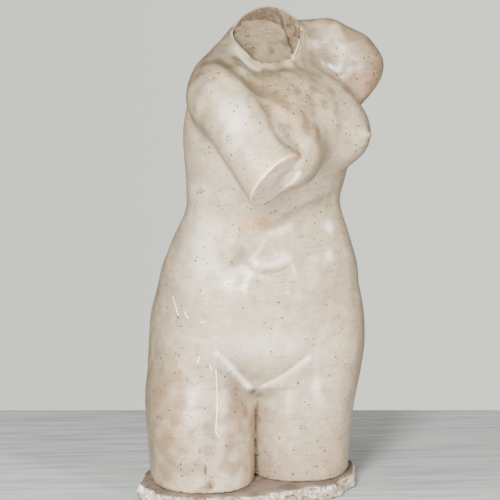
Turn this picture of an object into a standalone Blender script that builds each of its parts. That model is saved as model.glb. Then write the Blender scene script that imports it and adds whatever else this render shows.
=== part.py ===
"""A plaster torso of a standing woman, on the thin rough plinth that it was cast with.

The torso is modelled the way a sculptor builds it. Simple masses are blocked out, the block is
remeshed into one skin, and the skin settles on the blended form of those masses, with its folds
and with the flat breaks of the neck and arms.

The figure is measured in parts: from the cut of its thighs to the top of its neck it is
FIGURE_PARTS of them, so that its pose, proportions and carving are shares of FIGURE_HEIGHT.
Its axes are X to the figure's left, Y to its back and Z up, with the hips facing -Y and zero at
the cut of the thighs. The model's origin lies under the plinth.
"""
import math

import bmesh
import bpy
import numpy as np
from mathutils import Matrix, Vector

# Driving dimensions, in metres
FIGURE_HEIGHT = 0.784
PLINTH_THICKNESS = 0.028
JOINT_GAP = 0.0003

# The figure's own measure
FIGURE_PARTS = 784
PART = FIGURE_HEIGHT / FIGURE_PARTS
FIGURE_BASE = PLINTH_THICKNESS + JOINT_GAP

# Modelling fineness, in parts
SKIN_VOXEL = 5.0
TORSO_TRIANGLES = 8200

PLASTER_COLOUR = (0.72, 0.66, 0.57, 1.0)
PLINTH_COLOUR = (0.42, 0.35, 0.30, 1.0)

# Trunk sections: height, centre x and y, half width, depth in front, depth behind, turn in
# degrees and squareness, from the crotch to the base of the neck
TRUNK = (
    (144, 4, 2, 105, 58, 70, 0, 2.1),
    (172, 6, 0, 138, 90, 98, 0, 2.1),
    (207, 9, -1, 159, 115, 112, 0, 2.15),
    (257, 11, -3, 168, 121, 108, 1, 2.2),
    (318, 13, -5, 167, 120, 96, 3, 2.2),
    (355, 15, -9, 162, 113, 84, 6, 2.2),
    (385, 16, -12, 154, 105, 77, 10, 2.2),
    (412, 16, -19, 147, 99, 76, 15, 2.2),
    (439, 17, -24, 138, 94, 79, 21, 2.2),
    (462, 19, -29, 134, 92, 83, 25, 2.2),
    (493, 23, -34, 138, 96, 89, 30, 2.2),
    (534, 29, -41, 142, 102, 96, 34, 2.2),
    (572, 35, -47, 145, 106, 99, 36, 2.2),
    (612, 39, -53, 140, 102, 98, 36, 2.2),
    (652, 38, -53, 122, 80, 90, 36, 2.1),
    (684, 32, -42, 92, 52, 74, 36, 2.0),
    (712, 27, -34, 55, 32, 50, 36, 2.0),
)
RIGHT_THIGH = (
    (-58, -83, -44, 83, 98, 98, 0, 2.1),
    (2, -83, -36, 86, 108, 103, 0, 2.2),
    (57, -84, -28, 88, 112, 108, 0, 2.3),
    (122, -85, -18, 91, 112, 113, 0, 2.35),
    (177, -81, -9, 90, 108, 116, 0, 2.35),
    (227, -76, 0, 85, 104, 106, 0, 2.35),
    (282, -70, 4, 78, 86, 82, 0, 2.1),
    (322, -64, 4, 50, 50, 45, 0, 2.1),
    (340, -64, 4, 10, 10, 10, 0, 2.1),
)
LEFT_THIGH = (
    (-58, 81, 21, 82, 100, 93, 0, 2.1),
    (2, 82, 18, 84, 104, 97, 0, 2.2),
    (57, 83, 15, 86, 108, 100, 0, 2.3),
    (122, 86, 10, 89, 113, 106, 0, 2.35),
    (177, 91, 6, 94, 114, 112, 0, 2.35),
    (227, 94, 4, 92, 106, 106, 0, 2.35),
    (282, 95, 4, 80, 86, 82, 0, 2.1),
    (322, 90, 4, 60, 50, 45, 0, 2.1),
    (344, 88, 4, 10, 10, 10, 0, 2.1),
)

# The chest has a frame of its own, turned on the hips, stooping and dropped to its right
CHEST_ORIGIN = (35, -47, 572)
CHEST_TURN = 36
CHEST_STOOP = 10
CHEST_DROP = 8

RIGHT_SHOULDER = (-56, -146, 656)
RIGHT_BREAK = (19, -255, 541)
RIGHT_BREAK_NORMAL = (0.625, -0.518, -0.584)
LEFT_SHOULDER = (159, 26, 679)
LEFT_ACROMION = (127, 9, 719)
LEFT_ARM_AXIS = (0.674, 0.198, -0.712)
LEFT_BREAK = (202, 23, 641)
LEFT_BREAK_NORMAL = (0.805, 0.029, -0.593)
NECK_ROOT = (21, -31, 672)
NECK_BREAK = (25, -43, 741)
NECK_BREAK_NORMAL = (-0.062, -0.704, 0.707)
LEFT_STUB_LENGTH = 90
NECK_BREAK_REACH = 57
BREAK_EDGE = 2
WORN_BREAK_EDGE = 30


def unit(vector):
    """The vector at a length of one."""
    vector = np.asarray(vector, float)
    return vector / np.linalg.norm(vector)


def chest_axes():
    """Axes to the chest's left, its back and up along it, one to a row."""
    turn = math.radians(CHEST_TURN)
    left = np.array([math.cos(turn), math.sin(turn), 0])
    back = np.array([-math.sin(turn), math.cos(turn), 0])
    stoop = math.tan(math.radians(CHEST_STOOP))
    drop = math.tan(math.radians(CHEST_DROP))
    up = unit(np.array([0, 0, 1]) - back * stoop - left * drop)
    back = unit(back - up * (back @ up))
    return np.stack([np.cross(back, up), back, up])


CHEST_AXES = chest_axes()


def chest(left, back, up):
    """A point given in the chest's own frame."""
    return np.array(CHEST_ORIGIN) + np.array([left, back, up]) @ CHEST_AXES


def section_curve(heights, table):
    """The sections of a table at other heights, on a smooth curve through its rows."""
    rows = np.asarray(table, float)
    key, values = rows[:, 0], rows[:, 1:]
    slope = np.empty_like(values)
    slope[1:-1] = (values[2:] - values[:-2]) / (key[2:] - key[:-2])[:, None]
    slope[0] = (values[1] - values[0]) / (key[1] - key[0])
    slope[-1] = (values[-1] - values[-2]) / (key[-1] - key[-2])
    heights = np.clip(heights, key[0], key[-1])
    low = np.clip(np.searchsorted(key, heights, side="right") - 1, 0, len(key) - 2)
    span = (key[low + 1] - key[low])[:, None]
    t = (heights - key[low])[:, None] / span
    return (
        (2 * t**3 - 3 * t**2 + 1) * values[low]
        + (t**3 - 2 * t**2 + t) * span * slope[low]
        + (3 * t**2 - 2 * t**3) * values[low + 1]
        + (t**3 - t**2) * span * slope[low + 1]
    )


def smooth_step(t):
    """Runs from 0 to 1 without a corner."""
    t = np.clip(t, 0, 1)
    return t * t * (3 - 2 * t)


class Loft:
    """A mass through level sections, each an oval with its own depth in front and behind."""

    SEAM = 30
    SAMPLES = 800
    SIDES = 40
    RINGS = 36

    def __init__(self, table):
        self.bottom, self.top = table[0][0], table[-1][0]
        self.sections = section_curve(np.linspace(self.bottom, self.top, self.SAMPLES), table)

    def section(self, heights):
        """Sections at these heights, read from the sampled curve."""
        place = (heights - self.bottom) / (self.top - self.bottom) * (self.SAMPLES - 1)
        place = np.clip(place, 0, self.SAMPLES - 1.001)
        low = place.astype(int)
        part = (place - low)[:, None]
        return self.sections[low] * (1 - part) + self.sections[low + 1] * part

    def distance(self, p):
        """How far points lie outside the mass."""
        x0, y0, half_width, front, behind, turn, square = self.section(p[:, 2]).T
        turn = np.radians(turn)
        x, y = p[:, 0] - x0, p[:, 1] - y0
        across = x * np.cos(turn) + y * np.sin(turn)
        along = y * np.cos(turn) - x * np.sin(turn)
        backness = smooth_step(along / self.SEAM * 0.5 + 0.5)
        depth = front * (1 - backness) + behind * backness
        ratio = ((np.abs(across) / half_width) ** square + (np.abs(along) / depth) ** square)
        ratio = np.maximum(ratio ** (1 / square), 1e-6)
        inner = -np.minimum(half_width, depth)
        gap = np.maximum(np.hypot(across, along) * (1 - 1 / ratio), inner)
        over = np.maximum(self.bottom - p[:, 2], p[:, 2] - self.top)
        beyond = np.hypot(np.maximum(gap, 0), over)
        return np.where(over > 0, beyond, np.maximum(gap, over))

    def block(self, mesh):
        """A closed shell through the sections, for the block-out."""
        rings = []
        for height in np.linspace(self.bottom, self.top, self.RINGS):
            x0, y0, half_width, front, behind, turn, square = self.section(np.array([height]))[0]
            turn = math.radians(turn)
            ring = []
            for side in range(self.SIDES):
                angle = 2 * math.pi * side / self.SIDES
                c, s = math.cos(angle), math.sin(angle)
                across = half_width * math.copysign(abs(c) ** (2 / square), c)
                along = (behind if s > 0 else front) * math.copysign(abs(s) ** (2 / square), s)
                x = x0 + across * math.cos(turn) - along * math.sin(turn)
                y = y0 + across * math.sin(turn) + along * math.cos(turn)
                ring.append(mesh.verts.new((x, y, height)))
            rings.append(ring)
        mesh.faces.new(reversed(rings[0]))
        mesh.faces.new(rings[-1])
        for low, high in zip(rings, rings[1:]):
            for i in range(self.SIDES):
                j = (i + 1) % self.SIDES
                mesh.faces.new((low[i], low[j], high[j], high[i]))


class Ball:
    """An egg-shaped mass with three radii, turned about the upright."""

    def __init__(self, centre, radii, turn=0):
        self.centre = np.asarray(centre, float)
        self.radii = np.asarray(radii, float)
        self.turn = Matrix.Rotation(math.radians(turn), 3, "Z")

    def distance(self, p):
        """How far points lie outside the mass."""
        q = (p - self.centre) @ np.array(self.turn)
        near = np.linalg.norm(q / self.radii, axis=1)
        far = np.linalg.norm(q / self.radii**2, axis=1)
        return near * (near - 1) / np.maximum(far, 1e-9)

    def block(self, mesh):
        """A stretched sphere, for the block-out."""
        scale = Matrix.Diagonal(Vector(self.radii)).to_4x4()
        place = Matrix.Translation(Vector(self.centre)) @ self.turn.to_4x4() @ scale
        bmesh.ops.create_uvsphere(mesh, u_segments=32, v_segments=20, radius=1, matrix=place)


class Limb:
    """A round mass that tapers from one end's radius to the other's."""

    def __init__(self, start, end, start_radius, end_radius):
        self.start = np.asarray(start, float)
        self.axis = np.asarray(end, float) - self.start
        self.radii = (start_radius, end_radius)

    def distance(self, p):
        """How far points lie outside the mass."""
        t = np.clip((p - self.start) @ self.axis / (self.axis @ self.axis), 0, 1)
        radius = self.radii[0] + (self.radii[1] - self.radii[0]) * t
        return np.linalg.norm(p - self.start - t[:, None] * self.axis, axis=1) - radius

    def cone(self, mesh):
        """A cone from end to end, whose new vertices are returned."""
        axis = Vector(self.axis)
        middle = Matrix.Translation(Vector(self.start + self.axis / 2))
        made = bmesh.ops.create_cone(
            mesh, cap_ends=True, segments=32, radius1=self.radii[0], radius2=self.radii[1],
            depth=axis.length, matrix=middle @ axis.to_track_quat("Z", "Y").to_matrix().to_4x4(),
        )
        return made["verts"]

    def block(self, mesh):
        """A cone between two spheres, for the block-out."""
        self.cone(mesh)
        for centre, radius in zip((self.start, self.start + self.axis), self.radii):
            Ball(centre, (radius, radius, radius)).block(mesh)


class BrokenLimb(Limb):
    """A limb that is broken off along a plane across it."""

    def __init__(self, start, end, radii, centre, normal, edge=BREAK_EDGE):
        super().__init__(start, end, *radii)
        self.centre = np.asarray(centre, float)
        self.normal = unit(normal)
        self.edge = edge

    def distance(self, p):
        """How far points lie outside the stub."""
        beyond = (p - self.centre) @ self.normal
        return -blended(-super().distance(p), -beyond, self.edge)

    def block(self, mesh):
        """A cone whose far ring is slid back onto the break, for the block-out."""
        lean = self.axis @ self.normal
        for vertex in self.cone(mesh):
            beyond = (np.array(vertex.co) - self.centre) @ self.normal
            if beyond > 0:
                vertex.co -= Vector(self.axis * beyond / lean)
        radius = self.radii[0]
        Ball(self.start, (radius, radius, radius)).block(mesh)


def blended(first, second, radius):
    """Two fields joined with a fillet of about this radius."""
    share = np.clip(0.5 + 0.5 * (second - first) / radius, 0, 1)
    return second * (1 - share) + first * share - radius * share * (1 - share)


def chest_masses():
    """Ribs, back, shoulders and breasts, each with the fillet it is joined by."""
    yield Ball(chest(0, 10, 0), (140, 98, 125), CHEST_TURN), 30
    for side in (-1, 1):
        yield Ball(chest(82 * side, 48, 40), (55, 45, 80), CHEST_TURN - 15 * side), 30
        yield Ball(chest(98 * side, 30, -20), (35, 50, 90), CHEST_TURN), 30
    yield Limb((-12, -4, 714), (-60, -102, 677), 36, 44), 30
    yield Limb((15, -6, 717), LEFT_ACROMION, 39, 41), 30
    yield Ball(RIGHT_SHOULDER, (50, 50, 50)), 35
    yield Limb(RIGHT_SHOULDER, (7, -136, 642), 48, 36), 30
    yield Limb(chest(-40, -70, 56), chest(60, -56, 54), 50, 48), 30
    yield Ball((131, -70, 583), (60, 60, 55)), 30
    yield Limb((144, -80, 584), (183, -111, 587), 45, 5), 14
    yield Ball((41, -174, 567), (60, 60, 57)), 25
    yield Limb((41, -174, 567), (51, -202, 562), 50, 34), 12
    yield Limb((22, -162, 636), (46, -184, 590), 36, 43), 30
    yield Limb((50, -112, 660), (80, -120, 600), 36, 42), 40


def limb_masses():
    """The stubs of the arms and neck, each with the fillet it is joined by."""
    start, middle = np.array(RIGHT_SHOULDER), np.array(RIGHT_BREAK)
    end = middle + (middle - start) / 3
    yield BrokenLimb(start, end, (53.5, 53), RIGHT_BREAK, RIGHT_BREAK_NORMAL), 12
    start = np.array(LEFT_SHOULDER)
    end = start + unit(LEFT_ARM_AXIS) * LEFT_STUB_LENGTH
    yield Ball(start, (53, 53, 53)), 25
    yield BrokenLimb(start, end, (54, 52), LEFT_BREAK, LEFT_BREAK_NORMAL, WORN_BREAK_EDGE), 25
    start, middle = np.array(NECK_ROOT), np.array(NECK_BREAK)
    end = middle + (middle - start)
    yield BrokenLimb(start, end, (53, 49.5), NECK_BREAK, NECK_BREAK_NORMAL), 30


def hip_masses():
    """The seat, belly and mons, each with the fillet it is joined by."""
    for side in (-1, 1):
        yield Ball((74 * side + 8, 50, 208 + 6 * side), (86, 86, 80)), 25
    yield Ball((11, -52, 294), (108, 70, 95)), 40
    yield Ball((1, -68, 210), (60, 36, 58)), 20


TRUNK_MASS = Loft(TRUNK)
THIGH_MASSES = (Loft(RIGHT_THIGH), Loft(LEFT_THIGH))
UPPER_MASSES = tuple(chest_masses()) + tuple(limb_masses())
LOWER_MASSES = tuple(hip_masses())
THIGH_CREASE = 6
THIGH_FILLET = 40
NECK_REACH = Limb(
    NECK_ROOT, 2 * np.array(NECK_BREAK) - np.array(NECK_ROOT), NECK_BREAK_REACH, NECK_BREAK_REACH
)


def neck_cut(p):
    """The space that the neck's break leaves empty: beyond its plane and round its stub."""
    short = (np.array(NECK_BREAK) - p) @ unit(NECK_BREAK_NORMAL)
    return np.maximum(short, NECK_REACH.distance(p))


def masses(p):
    """The blended field of all the masses, below zero inside the figure."""
    field = TRUNK_MASS.distance(p)
    for mass, fillet in UPPER_MASSES:
        field = blended(field, mass.distance(p), fillet)
    legs = blended(*(thigh.distance(p) for thigh in THIGH_MASSES), THIGH_CREASE)
    field = blended(field, legs, THIGH_FILLET)
    for mass, fillet in LOWER_MASSES:
        field = blended(field, mass.distance(p), fillet)
    return -blended(-field, neck_cut(p), BREAK_EDGE)


# Folds and ridges: points near the skin, half width, and depth, which is below zero for a ridge
FOLDS = (
    # Groins
    (((-69, -118, 233), (-50, -120, 217), (-28, -113, 189), (-5, -98, 163)), 6, 4),
    (((91, -116, 221), (72, -117, 208), (40, -108, 183), (7, -93, 162)), 6, 4),
    # Navel: its raised lip, the fold below and the line that comes down to it
    (((-10, -121, 381), (9, -122, 375), (33, -119, 377), (66, -108, 389)), 11, -4),
    (((0, -124, 366), (30, -123, 363), (64, -114, 373)), 10, 4),
    (((14, -121, 422), (1, -121, 399), (-15, -121, 372)), 12, -2),
    # Hollows and low swellings of the belly
    (((-25, -123, 410), (-36, -120, 374), (-34, -126, 336)), 22, 4),
    (((82, -102, 401), (83, -110, 363), (76, -121, 315)), 24, 3),
    (((12, -128, 356), (12, -133, 290)), 20, 2),
    (((-18, -126, 368), (-16, -131, 318)), 15, -2),
    (((48, -126, 356), (42, -130, 308)), 15, -1.5),
    # Waist folds, deepest on the figure's left
    (((138, -56, 488), (103, -89, 485), (66, -106, 474), (30, -118, 456)), 15, -3),
    (((138, -56, 474), (103, -89, 471), (72, -106, 460), (30, -119, 440), (-16, -128, 446)), 13, 5),
    (((141, -39, 462), (116, -75, 460), (84, -97, 446), (62, -106, 430)), 13, 3),
    # Crease between the right arm and breast
    (((-8, -188, 672), (8, -206, 648), (20, -242, 620), (48, -265, 586)), 8, 4),
    # Hollow behind the right collarbone, and the pit of the neck
    (((-72, -110, 726), (-43, -160, 712), (-15, -172, 690), (13, -179, 673), (50, -185, 652)), 15, 8),
    (((20, -115, 684), (42, -111, 682), (66, -103, 676)), 13, 3),
    # Hollow in front of the left shoulder, and the groove below its cap
    (((80, -10, 762), (108, -30, 738), (114, -34, 718), (128, -31, 695), (150, -42, 662)), 19, 4),
    (((171, -32, 700), (167, -33, 668), (154, -80, 640)), 16, 2.5),
    # Spine, cleft, seat folds and the dimples above
    (((-9, 20, 720), (-13, 33, 670), (-22, 40, 600), (-19, 38, 530), (-12, 45, 450),
      (2, 62, 385), (9, 95, 300)), 17, 9),
    (((10, 120, 275), (9, 125, 230), (5, 115, 185), (2, 95, 150)), 9, 13),
    (((-12, 90, 132), (-45, 105, 122), (-85, 100, 122), (-125, 75, 134)), 10, 6),
    (((20, 100, 135), (55, 115, 127), (95, 110, 128), (137, 85, 142)), 10, 6),
    (((-34, 100, 330), (-20, 95, 312)), 19, 3),
    (((54, 105, 334), (42, 100, 316)), 19, 3),
)
SCAPULA_FOLD = ((40, 95, 95), (44, 102, 50), (52, 102, 5), (80, 92, -15))
FOLD_TAPER = 0.25
FOLD_STEPS = 16


def drawn_path(points):
    """A smooth path through a fold's points, settled on the masses."""
    key = np.arange(len(points))
    steps = np.linspace(0, len(points) - 1, FOLD_STEPS)
    return settled(section_curve(steps, np.column_stack([key, points])), masses, 6)


def settled(p, field, rounds):
    """Moves points straight onto the skin of a field."""
    step = 0.5
    for _ in range(rounds):
        value = field(p)
        slope = np.stack(
            [field(p + step * axis) - field(p - step * axis) for axis in np.eye(3)], axis=1
        ) / (2 * step)
        steep = np.maximum((slope**2).sum(axis=1), 0.25)
        p = p - (value / steep)[:, None] * slope
    return p


def path_distance(p, path):
    """Distance of points from a path, and how far along it, from 0 to 1, the nearest place is."""
    nearest = np.full(len(p), np.inf)
    where = np.zeros(len(p))
    legs = len(path) - 1
    for leg in range(legs):
        axis = path[leg + 1] - path[leg]
        t = np.clip((p - path[leg]) @ axis / max(axis @ axis, 1e-9), 0, 1)
        gap = np.linalg.norm(p - path[leg] - t[:, None] * axis, axis=1)
        closer = gap < nearest
        nearest[closer] = gap[closer]
        where[closer] = (leg + t[closer]) / legs
    return nearest, where


def fold_list():
    """Every fold as a settled path with its width and depth."""
    folds = list(FOLDS)
    for side in (-1, 1):
        folds.append(([chest(side * x, y, z) for x, y, z in SCAPULA_FOLD], 15, 6))
    return [(drawn_path(points), width, depth) for points, width, depth in folds]


def make_form():
    """The field of the finished figure: its masses with the folds drawn on them."""
    folds = fold_list()

    def form(p):
        field = masses(p)
        for path, width, depth in folds:
            reach = 3 * width
            inside = np.all((p > path.min(axis=0) - reach) & (p < path.max(axis=0) + reach), axis=1)
            near = np.flatnonzero(inside)
            gap, where = path_distance(p[near], path)
            fade = smooth_step(np.minimum(where, 1 - where) / FOLD_TAPER)
            field[near] += depth * np.exp(-((gap / width) ** 2)) * fade
        return field

    return form


def new_collection(name):
    """A collection linked to the scene."""
    collection = bpy.data.collections.new(name)
    bpy.context.scene.collection.children.link(collection)
    return collection


def new_object(name, mesh, collection):
    """A mesh object in a collection."""
    thing = bpy.data.objects.new(name, mesh)
    collection.objects.link(thing)
    return thing


def mesh_from(bm, name):
    """A mesh made from a bmesh, which is freed."""
    mesh = bpy.data.meshes.new(name)
    bm.to_mesh(mesh)
    bm.free()
    return mesh


def plain_material(name, colour, roughness):
    """A painted or bare surface of one colour."""
    material = bpy.data.materials.new(name)
    material.use_nodes = True
    shader = material.node_tree.nodes["Principled BSDF"]
    shader.inputs["Base Color"].default_value = colour
    shader.inputs["Roughness"].default_value = roughness
    shader.inputs["Metallic"].default_value = 0.0
    material.diffuse_color = colour
    return material


def block_out():
    """All the masses as overlapping shells in one mesh, in parts."""
    bm = bmesh.new()
    TRUNK_MASS.block(bm)
    for thigh in THIGH_MASSES:
        thigh.block(bm)
    for mass, _ in UPPER_MASSES + LOWER_MASSES:
        mass.block(bm)
    return mesh_from(bm, "block_out")


def skinned(mesh, voxel):
    """One closed skin over the block-out, from a voxel remesh."""
    block = bpy.data.objects.new("block_out", mesh)
    bpy.context.scene.collection.objects.link(block)
    remesh = block.modifiers.new("skin", "REMESH")
    remesh.mode = "VOXEL"
    remesh.voxel_size = voxel
    remesh.adaptivity = 0.0
    graph = bpy.context.evaluated_depsgraph_get()
    skin = bpy.data.meshes.new_from_object(block.evaluated_get(graph))
    bpy.data.objects.remove(block)
    return skin


def relax(mesh, form):
    """Evens out the skin's points and settles them on the form."""
    bm = bmesh.new()
    bm.from_mesh(mesh)
    for factor, rounds in ((0.5, 4), (0.5, 3), (0.3, 2)):
        for _ in range(rounds):
            bmesh.ops.smooth_vert(
                bm, verts=bm.verts, factor=factor, use_axis_x=True, use_axis_y=True,
                use_axis_z=True,
            )
        points = np.array([v.co[:] for v in bm.verts])
        for vertex, place in zip(bm.verts, settled(points, form, 3)):
            vertex.co = place
    bm.to_mesh(mesh)
    bm.free()


def place_figure(bm):
    """Takes a bmesh from the figure's parts to the model's metres, on top of the plinth."""
    bmesh.ops.scale(bm, vec=(PART, PART, PART), verts=bm.verts)
    bmesh.ops.translate(bm, vec=(0, 0, FIGURE_BASE), verts=bm.verts)


def cut_below(bm):
    """Cuts the thighs off level, a joint gap above the plinth, and closes them."""
    cut = bmesh.ops.bisect_plane(
        bm, geom=bm.verts[:] + bm.edges[:] + bm.faces[:], dist=1e-6,
        plane_co=(0, 0, FIGURE_BASE), plane_no=(0, 0, 1), clear_inner=True,
    )
    rim = [item for item in cut["geom_cut"] if isinstance(item, bmesh.types.BMEdge)]
    bmesh.ops.contextual_create(bm, geom=rim)
    bmesh.ops.triangulate(bm, faces=bm.faces[:])


def make_torso(collection):
    """The torso, broken at the neck and both arms and cut level through the thighs."""
    skin = skinned(block_out(), SKIN_VOXEL)
    relax(skin, make_form())
    bm = bmesh.new()
    bm.from_mesh(skin)
    place_figure(bm)
    cut_below(bm)
    torso = new_object("torso", mesh_from(bm, "torso"), collection)
    thin = torso.modifiers.new("facets", "DECIMATE")
    thin.ratio = TORSO_TRIANGLES / len(torso.data.polygons)
    thin.use_collapse_triangulate = True
    torso.data.materials.append(plain_material("plaster", PLASTER_COLOUR, 0.45))
    torso.data.shade_smooth()
    torso.data.set_sharp_from_angle(angle=math.radians(50))
    return torso


# The plinth's outline as its corners seen from above, in metres from the figure's axis
PLINTH_CORNERS = (
    (-0.192, -0.060),
    (-0.170, -0.128),
    (-0.095, -0.163),
    (-0.020, -0.160),
    (0.060, -0.128),
    (0.128, -0.098),
    (0.176, -0.030),
    (0.180, 0.060),
    (0.150, 0.128),
    (0.040, 0.145),
    (-0.080, 0.118),
    (-0.160, 0.070),
)
PLINTH_STEPS = 12
CHIP_SIZE = 0.0045


def ragged(angle, seed):
    """An uneven wave round a closed edge, between about -1 and 1."""
    waves = ((7, 0.45, 1.3), (13, 0.30, 2.9), (23, 0.25, 0.4), (41, 0.15, 5.1))
    return sum(size * math.sin(count * angle + phase * seed) for count, size, phase in waves)


def plinth_ring(inset, seed):
    """The plinth's outline with a broken edge, pulled in by an inset."""
    corners = [Vector((x, y)) for x, y in PLINTH_CORNERS]
    ring = []
    total = len(corners)
    for i, corner in enumerate(corners):
        following = corners[(i + 1) % total]
        for step in range(PLINTH_STEPS):
            point = corner.lerp(following, step / PLINTH_STEPS)
            angle = 2 * math.pi * (i + step / PLINTH_STEPS) / total
            reach = point.length + CHIP_SIZE * ragged(angle, seed) - inset
            ring.append(point.normalized() * reach)
    return ring


def make_plinth(collection):
    """The rough slab under the thighs, flat above and below, broken all round."""
    profile = (
        (0.0, 0.003, 1.0),
        (0.25, 0.000, 1.1),
        (0.6, 0.001, 1.6),
        (0.9, 0.004, 2.3),
        (1.0, 0.009, 2.7),
    )
    bm = bmesh.new()
    rings = []
    for height, inset, seed in profile:
        z = height * PLINTH_THICKNESS
        rings.append([bm.verts.new((p.x, p.y, z)) for p in plinth_ring(inset, seed)])
    count = len(rings[0])
    for low, high in zip(rings, rings[1:]):
        for i in range(count):
            j = (i + 1) % count
            bm.faces.new((low[i], low[j], high[j], high[i]))
    bm.faces.new(reversed(rings[0]))
    bm.faces.new(rings[-1])
    bmesh.ops.triangulate(bm, faces=bm.faces[:])
    bmesh.ops.recalc_face_normals(bm, faces=bm.faces[:])
    plinth = new_object("plinth", mesh_from(bm, "plinth"), collection)
    plinth.data.materials.append(plain_material("plinth plaster", PLINTH_COLOUR, 0.8))
    return plinth


def main():
    """Clears the scene and builds the torso and its plinth."""
    for thing in list(bpy.data.objects):
        bpy.data.objects.remove(thing)
    sculpture = new_collection("plaster_torso")
    make_torso(sculpture)
    make_plinth(sculpture)


main()
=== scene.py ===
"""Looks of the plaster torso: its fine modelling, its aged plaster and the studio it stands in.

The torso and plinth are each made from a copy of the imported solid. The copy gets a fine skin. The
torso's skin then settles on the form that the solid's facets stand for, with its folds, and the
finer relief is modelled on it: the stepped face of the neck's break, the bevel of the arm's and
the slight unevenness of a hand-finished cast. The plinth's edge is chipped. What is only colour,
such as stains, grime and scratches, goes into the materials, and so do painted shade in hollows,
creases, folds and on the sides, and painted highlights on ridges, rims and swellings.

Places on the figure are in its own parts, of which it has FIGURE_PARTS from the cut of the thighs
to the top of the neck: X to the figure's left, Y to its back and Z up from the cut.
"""

import logging
import math
from dataclasses import dataclass, field
from enum import Enum
from typing import Iterable, Sequence

import bpy
import numpy as np
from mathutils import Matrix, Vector


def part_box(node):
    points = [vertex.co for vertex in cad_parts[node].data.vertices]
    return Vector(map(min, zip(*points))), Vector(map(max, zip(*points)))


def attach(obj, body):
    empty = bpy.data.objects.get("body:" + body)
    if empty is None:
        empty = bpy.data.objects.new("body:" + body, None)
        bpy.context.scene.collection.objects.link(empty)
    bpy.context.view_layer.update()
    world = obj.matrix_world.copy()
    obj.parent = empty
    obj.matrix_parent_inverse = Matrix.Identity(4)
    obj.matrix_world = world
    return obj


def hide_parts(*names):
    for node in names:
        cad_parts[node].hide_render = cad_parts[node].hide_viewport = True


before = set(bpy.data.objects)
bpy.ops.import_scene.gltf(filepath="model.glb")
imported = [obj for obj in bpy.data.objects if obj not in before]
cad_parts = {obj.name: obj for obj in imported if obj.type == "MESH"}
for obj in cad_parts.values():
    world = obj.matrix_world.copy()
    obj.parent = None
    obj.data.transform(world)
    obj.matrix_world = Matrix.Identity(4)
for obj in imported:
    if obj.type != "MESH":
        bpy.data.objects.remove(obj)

LOG = logging.getLogger("plaster_torso")
FIGURE_PARTS = 784

# A scratch follows the curve of the skin, so its distance counts little from front to back
SCRATCH_WEIGHTS = (1.0, 0.12, 1.0)

Point = tuple[float, float, float]
Colour = tuple[float, float, float]
Socket = bpy.types.NodeSocket
Value = Socket | float | Colour


def heading(azimuth: float, elevation: float) -> Vector:
    """Turns two angles into a direction.

    Args:
        azimuth: degrees round from the front.
        elevation: degrees up.

    Returns:
        The direction, at a length of one.
    """
    turn, rise = math.radians(azimuth), math.radians(elevation)
    level = math.cos(rise)
    return Vector((math.sin(turn) * level, -math.cos(turn) * level, math.sin(rise)))


def unit(vector: Sequence[float]) -> np.ndarray:
    """Returns the vector at a length of one."""
    vector = np.asarray(vector, float)
    return vector / np.linalg.norm(vector)


def smooth_step(value: np.ndarray) -> np.ndarray:
    """Runs from 0 to 1 without a corner."""
    value = np.clip(value, 0, 1)
    return value * value * (3 - 2 * value)


def linear(red: int, green: int, blue: int) -> Colour:
    """Turns a colour as a screen shows it into the linear values that shaders use.

    Args:
        red: how red it is, 0 to 255.
        green: how green.
        blue: how blue.

    Returns:
        The linear colour.
    """
    parts = []
    for part in (red, green, blue):
        share = part / 255
        parts.append(share / 12.92 if share <= 0.04045 else ((share + 0.055) / 1.055) ** 2.4)
    return tuple(parts)


# Trunk sections: height, centre x and y, half width, depth in front, depth behind, turn in
# degrees and squareness, from the crotch to the base of the neck
TRUNK = (
    (144, 4, 2, 105, 58, 70, 0, 2.1),
    (172, 6, 0, 138, 90, 98, 0, 2.1),
    (207, 9, -1, 159, 115, 112, 0, 2.15),
    (257, 11, -3, 168, 121, 108, 1, 2.2),
    (318, 13, -5, 167, 120, 96, 3, 2.2),
    (355, 15, -9, 162, 113, 84, 6, 2.2),
    (385, 16, -12, 154, 105, 77, 10, 2.2),
    (412, 16, -19, 147, 99, 76, 15, 2.2),
    (439, 17, -24, 138, 94, 79, 21, 2.2),
    (462, 19, -29, 134, 92, 83, 25, 2.2),
    (493, 23, -34, 138, 96, 89, 30, 2.2),
    (534, 29, -41, 142, 102, 96, 34, 2.2),
    (572, 35, -47, 145, 106, 99, 36, 2.2),
    (612, 39, -53, 140, 102, 98, 36, 2.2),
    (652, 38, -53, 122, 80, 90, 36, 2.1),
    (684, 32, -42, 92, 52, 74, 36, 2.0),
    (712, 27, -34, 55, 32, 50, 36, 2.0),
)
RIGHT_THIGH = (
    (-58, -83, -44, 83, 98, 98, 0, 2.1),
    (2, -83, -36, 86, 108, 103, 0, 2.2),
    (57, -84, -28, 88, 112, 108, 0, 2.3),
    (122, -85, -18, 91, 112, 113, 0, 2.35),
    (177, -81, -9, 90, 108, 116, 0, 2.35),
    (227, -76, 0, 85, 104, 106, 0, 2.35),
    (282, -70, 4, 78, 86, 82, 0, 2.1),
    (322, -64, 4, 50, 50, 45, 0, 2.1),
    (340, -64, 4, 10, 10, 10, 0, 2.1),
)
LEFT_THIGH = (
    (-58, 81, 21, 82, 100, 93, 0, 2.1),
    (2, 82, 18, 84, 104, 97, 0, 2.2),
    (57, 83, 15, 86, 108, 100, 0, 2.3),
    (122, 86, 10, 89, 113, 106, 0, 2.35),
    (177, 91, 6, 94, 114, 112, 0, 2.35),
    (227, 94, 4, 92, 106, 106, 0, 2.35),
    (282, 95, 4, 80, 86, 82, 0, 2.1),
    (322, 90, 4, 60, 50, 45, 0, 2.1),
    (344, 88, 4, 10, 10, 10, 0, 2.1),
)

# The chest has a frame of its own, turned on the hips, stooping and dropped to its right
CHEST_ORIGIN = (35, -47, 572)
CHEST_TURN = 36
CHEST_STOOP = 10
CHEST_DROP = 8

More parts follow.
